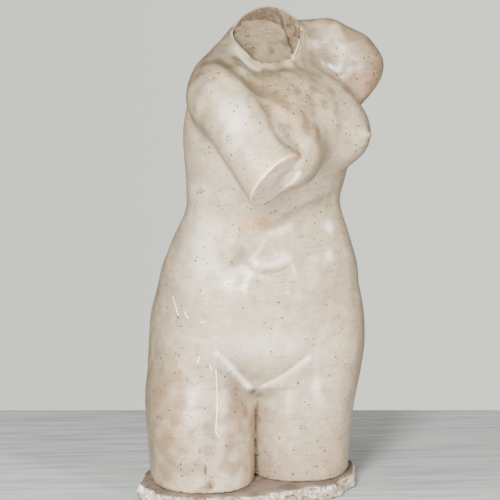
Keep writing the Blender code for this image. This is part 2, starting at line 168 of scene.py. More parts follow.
RIGHT_SHOULDER = (-56, -146, 656)
RIGHT_BREAK = (19, -255, 541)
RIGHT_BREAK_NORMAL = (0.625, -0.518, -0.584)
LEFT_SHOULDER = (159, 26, 679)
LEFT_ACROMION = (127, 9, 719)
LEFT_ARM_AXIS = (0.674, 0.198, -0.712)
LEFT_BREAK = (202, 23, 641)
LEFT_BREAK_NORMAL = (0.805, 0.029, -0.593)
NECK_ROOT = (21, -31, 672)
NECK_BREAK = (25, -43, 741)
NECK_BREAK_NORMAL = (-0.062, -0.704, 0.707)
LEFT_STUB_LENGTH = 90
NECK_BREAK_REACH = 57
BREAK_EDGE = 2
WORN_BREAK_EDGE = 30
THIGH_CREASE = 6
THIGH_FILLET = 40
NECK_FILLET = 30

# Folds and ridges: points near the skin, half width, and depth, which is below zero for a ridge
FOLDS = (
    # Groins
    (((-69, -118, 233), (-50, -120, 217), (-28, -113, 189), (-5, -98, 163)), 6, 4),
    (((91, -116, 221), (72, -117, 208), (40, -108, 183), (7, -93, 162)), 6, 4),
    # Navel: its raised lip, the fold below and the line that comes down to it
    (((-10, -121, 381), (9, -122, 375), (33, -119, 377), (66, -108, 389)), 11, -4),
    (((0, -124, 366), (30, -123, 363), (64, -114, 373)), 10, 4),
    (((14, -121, 422), (1, -121, 399), (-15, -121, 372)), 12, -2),
    # Hollows and low swellings of the belly
    (((-25, -123, 410), (-36, -120, 374), (-34, -126, 336)), 22, 4),
    (((82, -102, 401), (83, -110, 363), (76, -121, 315)), 24, 3),
    (((12, -128, 356), (12, -133, 290)), 20, 2),
    (((-18, -126, 368), (-16, -131, 318)), 15, -2),
    (((48, -126, 356), (42, -130, 308)), 15, -1.5),
    # Waist folds, deepest on the figure's left
    (((138, -56, 488), (103, -89, 485), (66, -106, 474), (30, -118, 456)), 15, -3),
    (((138, -56, 474), (103, -89, 471), (72, -106, 460), (30, -119, 440), (-16, -128, 446)), 13, 5),
    (((141, -39, 462), (116, -75, 460), (84, -97, 446), (62, -106, 430)), 13, 3),
    # Crease between the right arm and breast
    (((-8, -188, 672), (8, -206, 648), (20, -242, 620), (48, -265, 586)), 8, 4),
    # Hollow behind the right collarbone, and the pit of the neck
    (((-72, -110, 726), (-43, -160, 712), (-15, -172, 690), (13, -179, 673),
      (50, -185, 652)), 15, 8),
    (((20, -115, 684), (42, -111, 682), (66, -103, 676)), 13, 3),
    # Hollow in front of the left shoulder, and the groove below its cap
    (((80, -10, 762), (108, -30, 738), (114, -34, 718), (128, -31, 695), (150, -42, 662)), 19, 4),
    (((171, -32, 700), (167, -33, 668), (154, -80, 640)), 16, 2.5),
    # Spine, cleft, seat folds and the dimples above
    (((-9, 20, 720), (-13, 33, 670), (-22, 40, 600), (-19, 38, 530), (-12, 45, 450),
      (2, 62, 385), (9, 95, 300)), 17, 9),
    (((10, 120, 275), (9, 125, 230), (5, 115, 185), (2, 95, 150)), 9, 13),
    (((-12, 90, 132), (-45, 105, 122), (-85, 100, 122), (-125, 75, 134)), 10, 6),
    (((20, 100, 135), (55, 115, 127), (95, 110, 128), (137, 85, 142)), 10, 6),
    (((-34, 100, 330), (-20, 95, 312)), 19, 3),
    (((54, 105, 334), (42, 100, 316)), 19, 3),
)
SCAPULA_FOLD = ((40, 95, 95), (44, 102, 50), (52, 102, 5), (80, 92, -15))
FOLD_TAPER = 0.25
FOLD_STEPS = 16
PARTING_TOP = 158


def chest_axes() -> np.ndarray:
    """Works out the chest's own directions.

    Returns:
        The axes to its left, to its back and up along it, one to a row.
    """
    turn = math.radians(CHEST_TURN)
    left = np.array([math.cos(turn), math.sin(turn), 0])
    back = np.array([-math.sin(turn), math.cos(turn), 0])
    stoop = math.tan(math.radians(CHEST_STOOP))
    drop = math.tan(math.radians(CHEST_DROP))
    up = unit(np.array([0, 0, 1]) - back * stoop - left * drop)
    back = unit(back - up * (back @ up))
    return np.stack([np.cross(back, up), back, up])


CHEST_AXES = chest_axes()


def chest(left: float, back: float, up: float) -> np.ndarray:
    """Returns a point given in the chest's own frame."""
    return np.array(CHEST_ORIGIN) + np.array([left, back, up]) @ CHEST_AXES


def section_curve(keys: np.ndarray, table: Sequence) -> np.ndarray:
    """Reads a table between its rows, on a smooth curve through them.

    Args:
        keys: where to read it.
        table: rows that start with their key.

    Returns:
        The rest of a row for each key.
    """
    rows = np.asarray(table, float)
    key, values = rows[:, 0], rows[:, 1:]
    slope = np.empty_like(values)
    slope[1:-1] = (values[2:] - values[:-2]) / (key[2:] - key[:-2])[:, None]
    slope[0] = (values[1] - values[0]) / (key[1] - key[0])
    slope[-1] = (values[-1] - values[-2]) / (key[-1] - key[-2])
    keys = np.clip(keys, key[0], key[-1])
    low = np.clip(np.searchsorted(key, keys, side="right") - 1, 0, len(key) - 2)
    span = (key[low + 1] - key[low])[:, None]
    t = (keys - key[low])[:, None] / span
    return (
        (2 * t**3 - 3 * t**2 + 1) * values[low]
        + (t**3 - 2 * t**2 + t) * span * slope[low]
        + (3 * t**2 - 2 * t**3) * values[low + 1]
        + (t**3 - t**2) * span * slope[low + 1]
    )


def blended(first: np.ndarray, second: np.ndarray, radius: float) -> np.ndarray:
    """Returns two fields joined with a fillet of about this radius."""
    share = np.clip(0.5 + 0.5 * (second - first) / radius, 0, 1)
    return second * (1 - share) + first * share - radius * share * (1 - share)


class Loft:
    """A mass through level sections, each an oval with its own depth in front and behind."""

    SEAM = 30
    SAMPLES = 800

    def __init__(self, table: Sequence) -> None:
        """Samples the sections of a table."""
        self.bottom, self.top = table[0][0], table[-1][0]
        self.sections = section_curve(np.linspace(self.bottom, self.top, self.SAMPLES), table)

    def distance(self, places: np.ndarray) -> np.ndarray:
        """Measures places against the mass.

        Args:
            places: points in parts, one to a row.

        Returns:
            How far each place lies outside, in parts, below zero inside.
        """
        row = (places[:, 2] - self.bottom) / (self.top - self.bottom) * (self.SAMPLES - 1)
        row = np.clip(row, 0, self.SAMPLES - 1.001)
        low = row.astype(int)
        part = (row - low)[:, None]
        section = self.sections[low] * (1 - part) + self.sections[low + 1] * part
        x0, y0, half_width, front, behind, turn, square = section.T
        turn = np.radians(turn)
        x, y = places[:, 0] - x0, places[:, 1] - y0
        across = x * np.cos(turn) + y * np.sin(turn)
        along = y * np.cos(turn) - x * np.sin(turn)
        backness = smooth_step(along / self.SEAM * 0.5 + 0.5)
        depth = front * (1 - backness) + behind * backness
        ratio = (np.abs(across) / half_width) ** square + (np.abs(along) / depth) ** square
        ratio = np.maximum(ratio ** (1 / square), 1e-6)
        inner = -np.minimum(half_width, depth)
        gap = np.maximum(np.hypot(across, along) * (1 - 1 / ratio), inner)
        over = np.maximum(self.bottom - places[:, 2], places[:, 2] - self.top)
        beyond = np.hypot(np.maximum(gap, 0), over)
        return np.where(over > 0, beyond, np.maximum(gap, over))


class Ball:
    """An egg-shaped mass with three radii, turned about the upright."""

    def __init__(self, centre: Sequence[float], radii: Point, turn: float = 0) -> None:
        """Places the ball.

        Args:
            centre: its middle, in parts.
            radii: its three radii.
            turn: how far it is turned, in degrees.
        """
        self.centre = np.asarray(centre, float)
        self.radii = np.asarray(radii, float)
        c, s = math.cos(math.radians(turn)), math.sin(math.radians(turn))
        self.turn = np.array([[c, -s, 0], [s, c, 0], [0, 0, 1]])

    def distance(self, places: np.ndarray) -> np.ndarray:
        """Measures places against the mass.

        Args:
            places: points in parts, one to a row.

        Returns:
            How far each place lies outside, in parts, below zero inside.
        """
        away = (places - self.centre) @ self.turn
        near = np.linalg.norm(away / self.radii, axis=1)
        far = np.linalg.norm(away / self.radii**2, axis=1)
        return near * (near - 1) / np.maximum(far, 1e-9)


class Limb:
    """A round mass that tapers from one end's radius to the other's."""

    def __init__(self, start: Sequence[float], end: Sequence[float], start_radius: float,
                 end_radius: float) -> None:
        """Places the limb.

        Args:
            start: the middle of its first end.
            end: the middle of its other end.
            start_radius: its radius at the first end.
            end_radius: its radius at the other end.
        """
        self.start = np.asarray(start, float)
        self.axis = np.asarray(end, float) - self.start
        self.radii = (start_radius, end_radius)

    def distance(self, places: np.ndarray) -> np.ndarray:
        """Measures places against the mass.

        Args:
            places: points in parts, one to a row.

        Returns:
            How far each place lies outside, in parts, below zero inside.
        """
        t = np.clip((places - self.start) @ self.axis / (self.axis @ self.axis), 0, 1)
        radius = self.radii[0] + (self.radii[1] - self.radii[0]) * t
        return np.linalg.norm(places - self.start - t[:, None] * self.axis, axis=1) - radius


class BrokenLimb(Limb):
    """A limb that is broken off along a plane across it."""

    def __init__(self, start: Sequence[float], end: Sequence[float], radii: tuple[float, float],
                 centre: Sequence[float], normal: Sequence[float],
                 edge: float = BREAK_EDGE) -> None:
        """Places the limb and its break.

        Args:
            start: the middle of its first end.
            end: the middle of the end that is broken away.
            radii: its radius at each end.
            centre: the middle of the break.
            normal: the way that the break faces.
            edge: how round the break's rim is.
        """
        super().__init__(start, end, *radii)
        self.centre = np.asarray(centre, float)
        self.normal = unit(normal)
        self.edge = edge

    def distance(self, places: np.ndarray) -> np.ndarray:
        """Returns how far places lie outside the stub."""
        beyond = (places - self.centre) @ self.normal
        return -blended(-super().distance(places), -beyond, self.edge)

    def rim(self, places: np.ndarray, width: float) -> np.ndarray:
        """Marks the rim of the break.

        Args:
            places: points in parts, one to a row.
            width: how wide the mark is, in parts.

        Returns:
            1 on the rim, fading to 0 at a few widths from it.
        """
        beyond = (places - self.centre) @ self.normal
        gap = np.hypot(beyond, Limb.distance(self, places))
        return np.exp(-((gap / width) ** 2))


Mass = Ball | Limb


def right_stub() -> BrokenLimb:
    """Places the stub of the right arm.

    Returns:
        The stub.
    """
    start, middle = np.array(RIGHT_SHOULDER), np.array(RIGHT_BREAK)
    end = middle + (middle - start) / 3
    return BrokenLimb(start, end, (53.5, 53), RIGHT_BREAK, RIGHT_BREAK_NORMAL)


def left_stub() -> BrokenLimb:
    """Places the stub of the left arm.

    Returns:
        The stub.
    """
    start = np.array(LEFT_SHOULDER)
    end = start + unit(LEFT_ARM_AXIS) * LEFT_STUB_LENGTH
    return BrokenLimb(start, end, (54, 52), LEFT_BREAK, LEFT_BREAK_NORMAL, WORN_BREAK_EDGE)


def neck_stub() -> BrokenLimb:
    """Returns the stub of the neck."""
    start, middle = np.array(NECK_ROOT), np.array(NECK_BREAK)
    return BrokenLimb(start, 2 * middle - start, (53, 49.5), NECK_BREAK, NECK_BREAK_NORMAL)


def upper_masses() -> Iterable[tuple[Mass, float]]:
    """Places the ribs, back, shoulders, breasts and stubs.

    Returns:
        Each mass with the fillet that joins it.
    """
    yield Ball(chest(0, 10, 0), (140, 98, 125), CHEST_TURN), 30
    for side in (-1, 1):
        yield Ball(chest(82 * side, 48, 40), (55, 45, 80), CHEST_TURN - 15 * side), 30
        yield Ball(chest(98 * side, 30, -20), (35, 50, 90), CHEST_TURN), 30
    yield Limb((-12, -4, 714), (-60, -102, 677), 36, 44), 30
    yield Limb((15, -6, 717), LEFT_ACROMION, 39, 41), 30
    yield Ball(RIGHT_SHOULDER, (50, 50, 50)), 35
    yield Limb(RIGHT_SHOULDER, (7, -136, 642), 48, 36), 30
    yield Limb(chest(-40, -70, 56), chest(60, -56, 54), 50, 48), 30
    yield Ball((131, -70, 583), (60, 60, 55)), 30
    yield Limb((144, -80, 584), (183, -111, 587), 45, 5), 14
    yield Ball((41, -174, 567), (60, 60, 57)), 25
    yield Limb((41, -174, 567), (51, -202, 562), 50, 34), 12
    yield Limb((22, -162, 636), (46, -184, 590), 36, 43), 30
    yield Limb((50, -112, 660), (80, -120, 600), 36, 42), 40
    yield right_stub(), 12
    yield Ball(LEFT_SHOULDER, (53, 53, 53)), 25
    yield left_stub(), 25


def hip_masses() -> Iterable[tuple[Mass, float]]:
    """Places the seat, belly and mons.

    Returns:
        Each mass with the fillet that joins it.
    """
    for side in (-1, 1):
        yield Ball((74 * side + 8, 50, 208 + 6 * side), (86, 86, 80)), 25
    yield Ball((11, -52, 294), (108, 70, 95)), 40
    yield Ball((1, -68, 210), (60, 36, 58)), 20


def path_distance(places: np.ndarray, path: np.ndarray) -> tuple[np.ndarray, np.ndarray]:
    """Measures places against a path.

    Args:
        places: points, one to a row.
        path: the path's corners, one to a row.

    Returns:
        The distance of each place from the path, and how far along the path, from 0 to 1, the
        nearest point of it lies.
    """
    nearest = np.full(len(places), np.inf)
    where = np.zeros(len(places))
    legs = len(path) - 1
    for leg in range(legs):
        axis = path[leg + 1] - path[leg]
        along = np.clip((places - path[leg]) @ axis / max(axis @ axis, 1e-12), 0, 1)
        gap = np.linalg.norm(places - path[leg] - along[:, None] * axis, axis=1)
        closer = gap < nearest
        nearest[closer] = gap[closer]
        where[closer] = (leg + along[closer]) / legs
    return nearest, where


@dataclass(frozen=True)
class Stroke:
    """A line on the skin: its path in parts, half width, strength and how its ends fade."""

    path: np.ndarray
    width: float
    strength: float
    taper: float = FOLD_TAPER

    def mask(self, places: np.ndarray) -> np.ndarray:
        """Marks the stroke.

        Args:
            places: points in parts, one to a row.

        Returns:
            1 on the stroke, fading to 0 beside it and at its ends.
        """
        reach = 3 * self.width
        inside = (places > self.path.min(axis=0) - reach) & (places < self.path.max(axis=0) + reach)
        near = np.flatnonzero(np.all(inside, axis=1))
        gap, where = path_distance(places[near], self.path)
        ends = smooth_step(np.minimum(where, 1 - where) / self.taper)
        mask = np.zeros(len(places))
        mask[near] = np.exp(-((gap / self.width) ** 2)) * ends
        return mask


class Form:
    """The figure as clay: blended masses, with folds pressed in and breaks cut."""

    def __init__(self) -> None:
        """Gathers the masses and draws the folds on them."""
        self.trunk = Loft(TRUNK)
        self.thighs = (Loft(RIGHT_THIGH), Loft(LEFT_THIGH))
        self.upper = tuple(upper_masses())
        self.hips = tuple(hip_masses())
        self.neck = neck_stub()
        self.right_arm = right_stub()
        self.left_arm = left_stub()
        beyond = 2 * np.array(NECK_BREAK) - np.array(NECK_ROOT)
        self.neck_reach = Limb(NECK_ROOT, beyond, NECK_BREAK_REACH, NECK_BREAK_REACH)
        folds = list(FOLDS)
        for side in (-1, 1):
            folds.append(([chest(side * x, y, z) for x, y, z in SCAPULA_FOLD], 15, 6))
        self.folds = [self.stroke(*fold) for fold in folds]

    def whole(self, places: np.ndarray, broken: bool = True) -> np.ndarray:
        """Blends the masses.

        Args:
            places: points, one to a row.
            broken: false for a neck that goes on beyond its break.

        Returns:
            How far each place lies outside the masses.
        """
        gap = self.trunk.distance(places)
        for mass, fillet in self.upper:
            gap = blended(gap, mass.distance(places), fillet)
        stub = self.neck.distance(places) if broken else Limb.distance(self.neck, places)
        gap = blended(gap, stub, NECK_FILLET)
        legs = blended(*(thigh.distance(places) for thigh in self.thighs), THIGH_CREASE)
        gap = blended(gap, legs, THIGH_FILLET)
        for mass, fillet in self.hips:
            gap = blended(gap, mass.distance(places), fillet)
        return gap

    def neck_cut(self, places: np.ndarray) -> np.ndarray:
        """Returns the space that the neck's break leaves empty, as a field."""
        short = (self.neck.centre - places) @ self.neck.normal
        return np.maximum(short, self.neck_reach.distance(places))

    def masses(self, places: np.ndarray) -> np.ndarray:
        """Returns the masses with the neck broken."""
        return -blended(-self.whole(places), self.neck_cut(places), BREAK_EDGE)

    def stroke(self, points: Sequence[Point], width: float, strength: float,
               taper: float = FOLD_TAPER) -> Stroke:
        """Draws a smooth line through points and lays it on the masses.

        Args:
            points: points near the skin, in parts.
            width: the line's half width, in parts.
            strength: a fold's depth, or how strong a painted line is.
            taper: the share of its length over which an end fades.

        Returns:
            The stroke.
        """
        steps = np.linspace(0, len(points) - 1, FOLD_STEPS)
        path = section_curve(steps, np.column_stack([np.arange(len(points)), points]))
        for _ in range(6):
            value = self.masses(path)
            slope = np.stack(
                [self.masses(path + 0.5 * axis) - self.masses(path - 0.5 * axis)
                 for axis in np.eye(3)], axis=1,
            )
            steep = np.maximum((slope**2).sum(axis=1), 0.25)
            path = path - (value / steep)[:, None] * slope
        return Stroke(path, width, strength, taper)

    def __call__(self, places: np.ndarray) -> np.ndarray:
        """Measures places against the figure, cut level through the thighs.

        Args:
            places: points in parts, one to a row.

        Returns:
            How far each place lies outside, in parts, below zero inside.
        """
        gap = self.masses(places)
        for fold in self.folds:
            gap = gap + fold.strength * fold.mask(places)
        return np.maximum(gap, -places[:, 2])

    def crease(self, places: np.ndarray, width: float) -> np.ndarray:
        """Returns 1 where the thighs meet, fading to 0 beside it."""
        gap = np.hypot(*(thigh.distance(places) for thigh in self.thighs))
        return np.exp(-((gap / width) ** 2))

    def parting(self, places: np.ndarray, width: float, reach: float) -> np.ndarray:
        """Marks the line where the thighs part.

        Args:
            places: places on the skin, in parts.
            width: the line's half width.
            reach: how far from the thighs' own sides the skin may be filled.

        Returns:
            1 on the line, fading to 0 beside it.
        """
        first, second = (thigh.distance(places) for thigh in self.thighs)
        off = ((first - second) / width) ** 2 + (np.hypot(first, second) / reach) ** 2
        return np.exp(-off) * smooth_step((PARTING_TOP - places[:, 2]) / 5)

    def neck_rim(self, places: np.ndarray, width: float) -> np.ndarray:
        """Returns 1 on the rim of the neck's break, fading to 0 at a few widths from it."""
        gap = np.hypot(self.neck_cut(places), self.whole(places, broken=False))
        return np.exp(-((gap / width) ** 2))


class Waves:
    """Smooth random relief: a sum of sine waves that run in scattered directions."""

    def __init__(self, length: float, count: int, seed: int) -> None:
        """Draws the waves.

        Args:
            length: the mean distance between crests, in metres.
            count: how many waves are summed.
            seed: start of the random draws.
        """
        draw = np.random.default_rng(seed)
        heading = draw.normal(size=(count, 3))
        heading /= np.linalg.norm(heading, axis=1, keepdims=True)
        self.pace = heading * (2 * math.pi / length) * draw.uniform(0.7, 1.5, (count, 1))
        self.phase = draw.uniform(0, 2 * math.pi, count)
        self.scale = math.sqrt(2 / count)

    def __call__(self, places: np.ndarray) -> np.ndarray:
        """Returns the relief at each place, mostly between -1 and 1."""
        return np.sin(places @ self.pace.T + self.phase).sum(axis=1) * self.scale


class Skin:
    """A mesh's points, for modelling with arrays."""

    def __init__(self, piece: bpy.types.Object) -> None:
        """Reads the points and edges of a piece's mesh.

        Args:
            piece: the piece.
        """
        self.mesh = piece.data
        count = len(self.mesh.vertices)
        flat = np.empty(count * 3)
        self.mesh.vertices.foreach_get("co", flat)
        self.points = flat.reshape(-1, 3)
        ends = np.empty(len(self.mesh.edges) * 2, dtype=np.int64)
        self.mesh.edges.foreach_get("vertices", ends)
        self.edges = ends.reshape(-1, 2)
        self.valence = np.bincount(ends, minlength=count).astype(float)
        self.measure()

    def measure(self) -> None:
        """Writes the points back and reads the surface's directions again."""
        self.mesh.vertices.foreach_set("co", self.points.ravel())
        self.mesh.update()
        flat = np.empty(len(self.points) * 3)
        self.mesh.vertex_normals.foreach_get("vector", flat)
        self.normals = flat.reshape(-1, 3)

    def neighbour_mean(self, values: np.ndarray) -> np.ndarray:
        """Averages a value over the points next to each point.

        Args:
            values: a value or a row of values for each point.

        Returns:
            The mean for each point.
        """
        low, high = self.edges.T
        count = len(self.points)
        if values.ndim == 1:
            total = np.bincount(low, values[high], count) + np.bincount(high, values[low], count)
            return total / self.valence
        columns = [self.neighbour_mean(column) for column in values.T]
        return np.stack(columns, axis=1)

    def smooth(self, rounds: int, hold: np.ndarray | float = 0.0) -> None:
        """Smooths facets away without shrinking the form.

        Args:
            rounds: how often the points move in and out again.
            hold: how far each point stays where it is, from 0 to 1.
        """
        free = np.atleast_1d(1 - hold)[:, None]
        for _ in range(rounds):
            for push in (0.50, -0.52):
                step = self.neighbour_mean(self.points) - self.points
                self.points = self.points + push * free * step
        self.measure()

    def blurred(self, values: np.ndarray, rounds: int) -> np.ndarray:
        """Spreads a value over the surface.

        Args:
            values: a value or a row of values for each point.
            rounds: how often it is averaged with its neighbours.

        Returns:
            The spread value for each point.
        """
        for _ in range(rounds):
            values = 0.5 * values + 0.5 * self.neighbour_mean(values)
        return values

    def raise_by(self, height: np.ndarray) -> None:
        """Moves each point out along the surface's direction, by metres."""
        self.points = self.points + self.normals * height[:, None]
        self.measure()

    def keep_within(self, low: Sequence[float], high: Sequence[float]) -> None:
        """Brings any point that stands outside a box back to its side."""
        self.points = np.clip(self.points, np.array(low), np.array(high))
        self.measure()

    def bend(self, rounds: int) -> np.ndarray:
        """Returns how far each point stands out of its surroundings, below zero in a hollow."""
        spread = self.blurred(self.points, rounds)
        return ((self.points - spread) * self.normals).sum(axis=1)

    def paint(self, name: str, values: np.ndarray) -> None:
        """Keeps a mask or a colour on the points, for the materials to read.

        Args:
            name: its name in the mesh.
            values: a share or a colour for each point.
        """
        if values.ndim == 1:
            layer = self.mesh.attributes.new(name, "FLOAT", "POINT")
            layer.data.foreach_set("value", np.clip(values, 0, 1).astype(np.float32))
            return
        layer = self.mesh.color_attributes.new(name, "FLOAT_COLOR", "POINT")
        opaque = np.column_stack([values, np.ones(len(values))])
        layer.data.foreach_set("color", opaque.astype(np.float32).ravel())


class Figure:
    """The figure's own measure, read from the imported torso."""

    def __init__(self, node: str) -> None:
        """Reads a figure's height and where it starts.

        Args:
            node: the node of the figure.
        """
        low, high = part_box(node)
        self.part = (high[2] - low[2]) / FIGURE_PARTS
        self.base = np.array([0, 0, low[2]])

    def place(self, point: Point) -> np.ndarray:
        """Returns a point given in parts as metres in the frame."""
        return self.base + np.asarray(point, float) * self.part

    def parts(self, places: np.ndarray) -> np.ndarray:
        """Returns places in metres in the frame as parts."""
        return (places - self.base) / self.part


@dataclass(frozen=True)
class TintPatch:
    """A soft stain, painted shade or highlight: place and radius in parts, colour and strength."""

    place: Point
    radius: float
    colour: Colour
    strength: float
    stretch: Point = (1, 1, 1)

    def mask(self, places: np.ndarray, ragged: np.ndarray) -> np.ndarray:
        """Works out how strongly the patch colours each place.

        Args:
            places: places on the skin, in parts.
            ragged: a random value at each place, which makes the edge uneven.

        Returns:
            A value from 0 to its strength at each place.
        """
        away = (places - np.array(self.place)) / np.array(self.stretch)
        gap = np.linalg.norm(away, axis=1) / self.radius
        return self.strength * np.exp(-((gap * (1 + 0.35 * ragged)) ** 2))


@dataclass(frozen=True)
class PaintLine:
    """A line of colour on the skin: points, half width, strength and colour."""

    points: tuple[Point, ...]
    width: float
    strength: float
    colour: Colour = (1, 1, 1)


class BreakFace:
    """The flat face that a broken limb ends in, with axes across it, in parts."""

    def __init__(self, limb: BrokenLimb) -> None:
        """Places the face at a limb's break.

        Args:
            limb: the limb.
        """
        self.centre = limb.centre
        self.normal = limb.normal
        self.right = unit(np.cross((0, 0, 1), self.normal))
        self.up = np.cross(self.normal, self.right)

    def across(self, places: np.ndarray) -> tuple[np.ndarray, np.ndarray]:
        """Returns how far right of the face's middle and up from it each place is."""
        away = places - self.centre
        return away @ self.right, away @ self.up

    def at(self, right: float, up: float) -> tuple[float, ...]:
        """Returns the place so far right of the face's middle and up from it."""
        return tuple(self.centre + right * self.right + up * self.up)

    def mask(self, places: np.ndarray, depth: float, radius: float) -> np.ndarray:
        """Marks the places that lie on the face.

        Args:
            places: places on the skin.
            depth: how far off the face's plane a place may lie.
            radius: how far from its middle a place may lie.

        Returns:
            1 on the face, fading to 0 off it.
        """
        away = places - self.centre
        level = away @ self.normal
        gap = np.linalg.norm(away - level[:, None] * self.normal, axis=1)
        near = smooth_step((radius - gap) / 3)
        return smooth_step((depth - np.abs(level)) / depth * 2) * near


def deselect_all() -> None:
    """Leaves nothing selected."""
    for thing in bpy.context.selected_objects:
        thing.select_set(False)


def make_active(piece: bpy.types.Object) -> None:
    """Selects one piece alone.

    Args:
        piece: the piece.
    """
    deselect_all()
    piece.select_set(True)
    bpy.context.view_layer.objects.active = piece


def apply_modifiers(piece: bpy.types.Object) -> None:
    """Applies every modifier of a piece in turn.

    Args:
        piece: the piece.
    """
    make_active(piece)
    for modifier in list(piece.modifiers):
        bpy.ops.object.modifier_apply(modifier=modifier.name)


def copied_solid(node: str, name: str) -> bpy.types.Object:
    """Makes a new piece with a CAD node's shape.

    Args:
        node: the node to copy.
        name: the new piece's name.

    Returns:
        The new piece, its loose triangles merged into one skin.
    """
    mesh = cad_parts[node].data.copy()
    mesh.name = name
    mesh.materials.clear()
    piece = bpy.data.objects.new(name, mesh)
    bpy.context.scene.collection.objects.link(piece)
    make_active(piece)
    bpy.ops.object.mode_set(mode="EDIT")
    bpy.ops.mesh.select_all(action="SELECT")
    bpy.ops.mesh.remove_doubles(threshold=0.00001)
    bpy.ops.mesh.customdata_custom_splitnormals_clear()
    bpy.ops.object.mode_set(mode="OBJECT")
    return piece


def fine_skin(piece: bpy.types.Object, voxel: float) -> Skin:
    """Gives a piece an even, fine skin.

    Args:
        piece: the piece, which is remeshed in place.
        voxel: the size of the skin's faces, in metres.

    Returns:
        The new skin.
    """
    remesh = piece.modifiers.new("skin", "REMESH")
    remesh.mode = "VOXEL"
    remesh.voxel_size = voxel
    remesh.adaptivity = 0.0
    remesh.use_smooth_shade = True
    apply_modifiers(piece)
    return Skin(piece)


def refined(piece: bpy.types.Object, near: np.ndarray) -> Skin:
    """Splits a piece's faces where finer relief is wanted.

    Args:
        piece: the piece, which is changed in place.
        near: true for the points whose faces are split.

    Returns:
        The new skin.
    """
    make_active(piece)
    bpy.ops.object.mode_set(mode="EDIT")
    bpy.ops.mesh.select_mode(type="VERT")
    bpy.ops.mesh.select_all(action="DESELECT")
    bpy.ops.object.mode_set(mode="OBJECT")
    piece.data.vertices.foreach_set("select", near.astype(bool))
    bpy.ops.object.mode_set(mode="EDIT")
    bpy.ops.mesh.subdivide(number_cuts=1, ngon=False)
    bpy.ops.object.mode_set(mode="OBJECT")
    piece.data.shade_smooth()
    return Skin(piece)


class Board:
    """A node tree with short ways to add and join nodes."""

    def __init__(self, tree: bpy.types.NodeTree) -> None:
        """Keeps the tree."""
        self.tree = tree

    def add(self, kind: str, **values: Value | str | bpy.types.NodeTree) -> bpy.types.Node:
        """Adds a node.

        Args:
            kind: the node's type, such as ShaderNodeMath.
            values: properties of the node, and inputs by their names with spaces as underscores.

        Returns:
            The new node.
        """
        node = self.tree.nodes.new(kind)
        for name, value in values.items():
            if hasattr(node, name):
                setattr(node, name, value)
            else:
                self.feed(node.inputs[name.replace("_", " ")], value)
        return node

    def feed(self, socket: Socket, value: Value) -> None:
        """Links an output to a socket, or sets the socket's own value.

        Args:
            socket: the input socket.
            value: the output or the value.
        """
        if isinstance(value, Socket):
            self.tree.links.new(value, socket)
        else:
            socket.default_value = value

    def sum(self, operation: str, *values: Value) -> Socket:
        """Does arithmetic.

        Args:
            operation: the Math node's operation.
            values: values or outputs, in order.

        Returns:
            The result's output.
        """
        node = self.tree.nodes.new("ShaderNodeMath")
        node.operation = operation
        for socket, value in zip(node.inputs, values):
            self.feed(socket, value)
        return node.outputs[0]

    def ramp(self, value: Value, low: float, high: float) -> Socket:
        """Stretches a value so that low becomes 0 and high becomes 1, softly.

        Args:
            value: the value.
            low: what becomes 0.
            high: what becomes 1.

        Returns:
            The stretched value's output.
        """
        node = self.add("ShaderNodeMapRange", interpolation_type="SMOOTHSTEP")
        self.feed(node.inputs["Value"], value)
        node.inputs["From Min"].default_value = low
        node.inputs["From Max"].default_value = high
        return node.outputs["Result"]

    def mix(self, share: Value, first: Value, second: Value,
            blend: str = "MIX") -> Socket:
        """Mixes two colours.

        Args:
            share: how much of the second colour shows.
            first: the first colour.
            second: the second colour.
            blend: the way that they mix.

        Returns:
            The mixed colour's output.
        """
        node = self.add("ShaderNodeMix", data_type="RGBA", blend_type=blend)
        colour_sockets = [socket for socket in node.inputs if socket.type == "RGBA"]
        self.feed(node.inputs[0], share)
        for socket, value in zip(colour_sockets, (first, second)):
            self.feed(socket, (*value, 1.0) if isinstance(value, tuple) else value)
        return next(socket for socket in node.outputs if socket.type == "RGBA")

    def noise(self, where: Socket, scale: float, detail: float = 3.0,
              roughness: float = 0.55) -> Socket:
        """Reads a noise.

        Args:
            where: the places to read it at.
            scale: how fine it is.
            detail: how many finer layers it has.
            roughness: how strong those are.

        Returns:
            The noise's output.
        """
        node = self.add("ShaderNodeTexNoise", Scale=scale, Detail=detail, Roughness=roughness)
        self.feed(node.inputs["Vector"], where)
        return node.outputs[0]

    def places(self) -> Socket:
        """Returns the surface's place in the frame."""
        return self.add("ShaderNodeTexCoord").outputs["Object"]

    def painted(self, name: str, colour: bool = False) -> Socket:
        """Returns a mask or a colour that was painted on the points."""
        node = self.add("ShaderNodeAttribute", attribute_name=name)
        return node.outputs["Color" if colour else "Fac"]


class Effect(Enum):
    """The shader node groups that the materials share."""

    MOTTLE = "mottle"
    PITS = "pits"
    SCRATCH = "scratch"


def new_group(effect: Effect, inputs: dict[str, str], outputs: dict[str, str]) -> Board:
    """Starts a shader node group.

    Args:
        effect: the effect that the group makes.
        inputs: socket types by input name.
        outputs: socket types by output name.

    Returns:
        The group's board, with its input and output nodes named "in" and "out".
    """
    tree = bpy.data.node_groups.new(effect.value, "ShaderNodeTree")
    for name, kind in inputs.items():
        tree.interface.new_socket(name=name, in_out="INPUT", socket_type=kind)
    for name, kind in outputs.items():
        tree.interface.new_socket(name=name, in_out="OUTPUT", socket_type=kind)
    tree.nodes.new("NodeGroupInput").name = "in"
    tree.nodes.new("NodeGroupOutput").name = "out"
    return Board(tree)


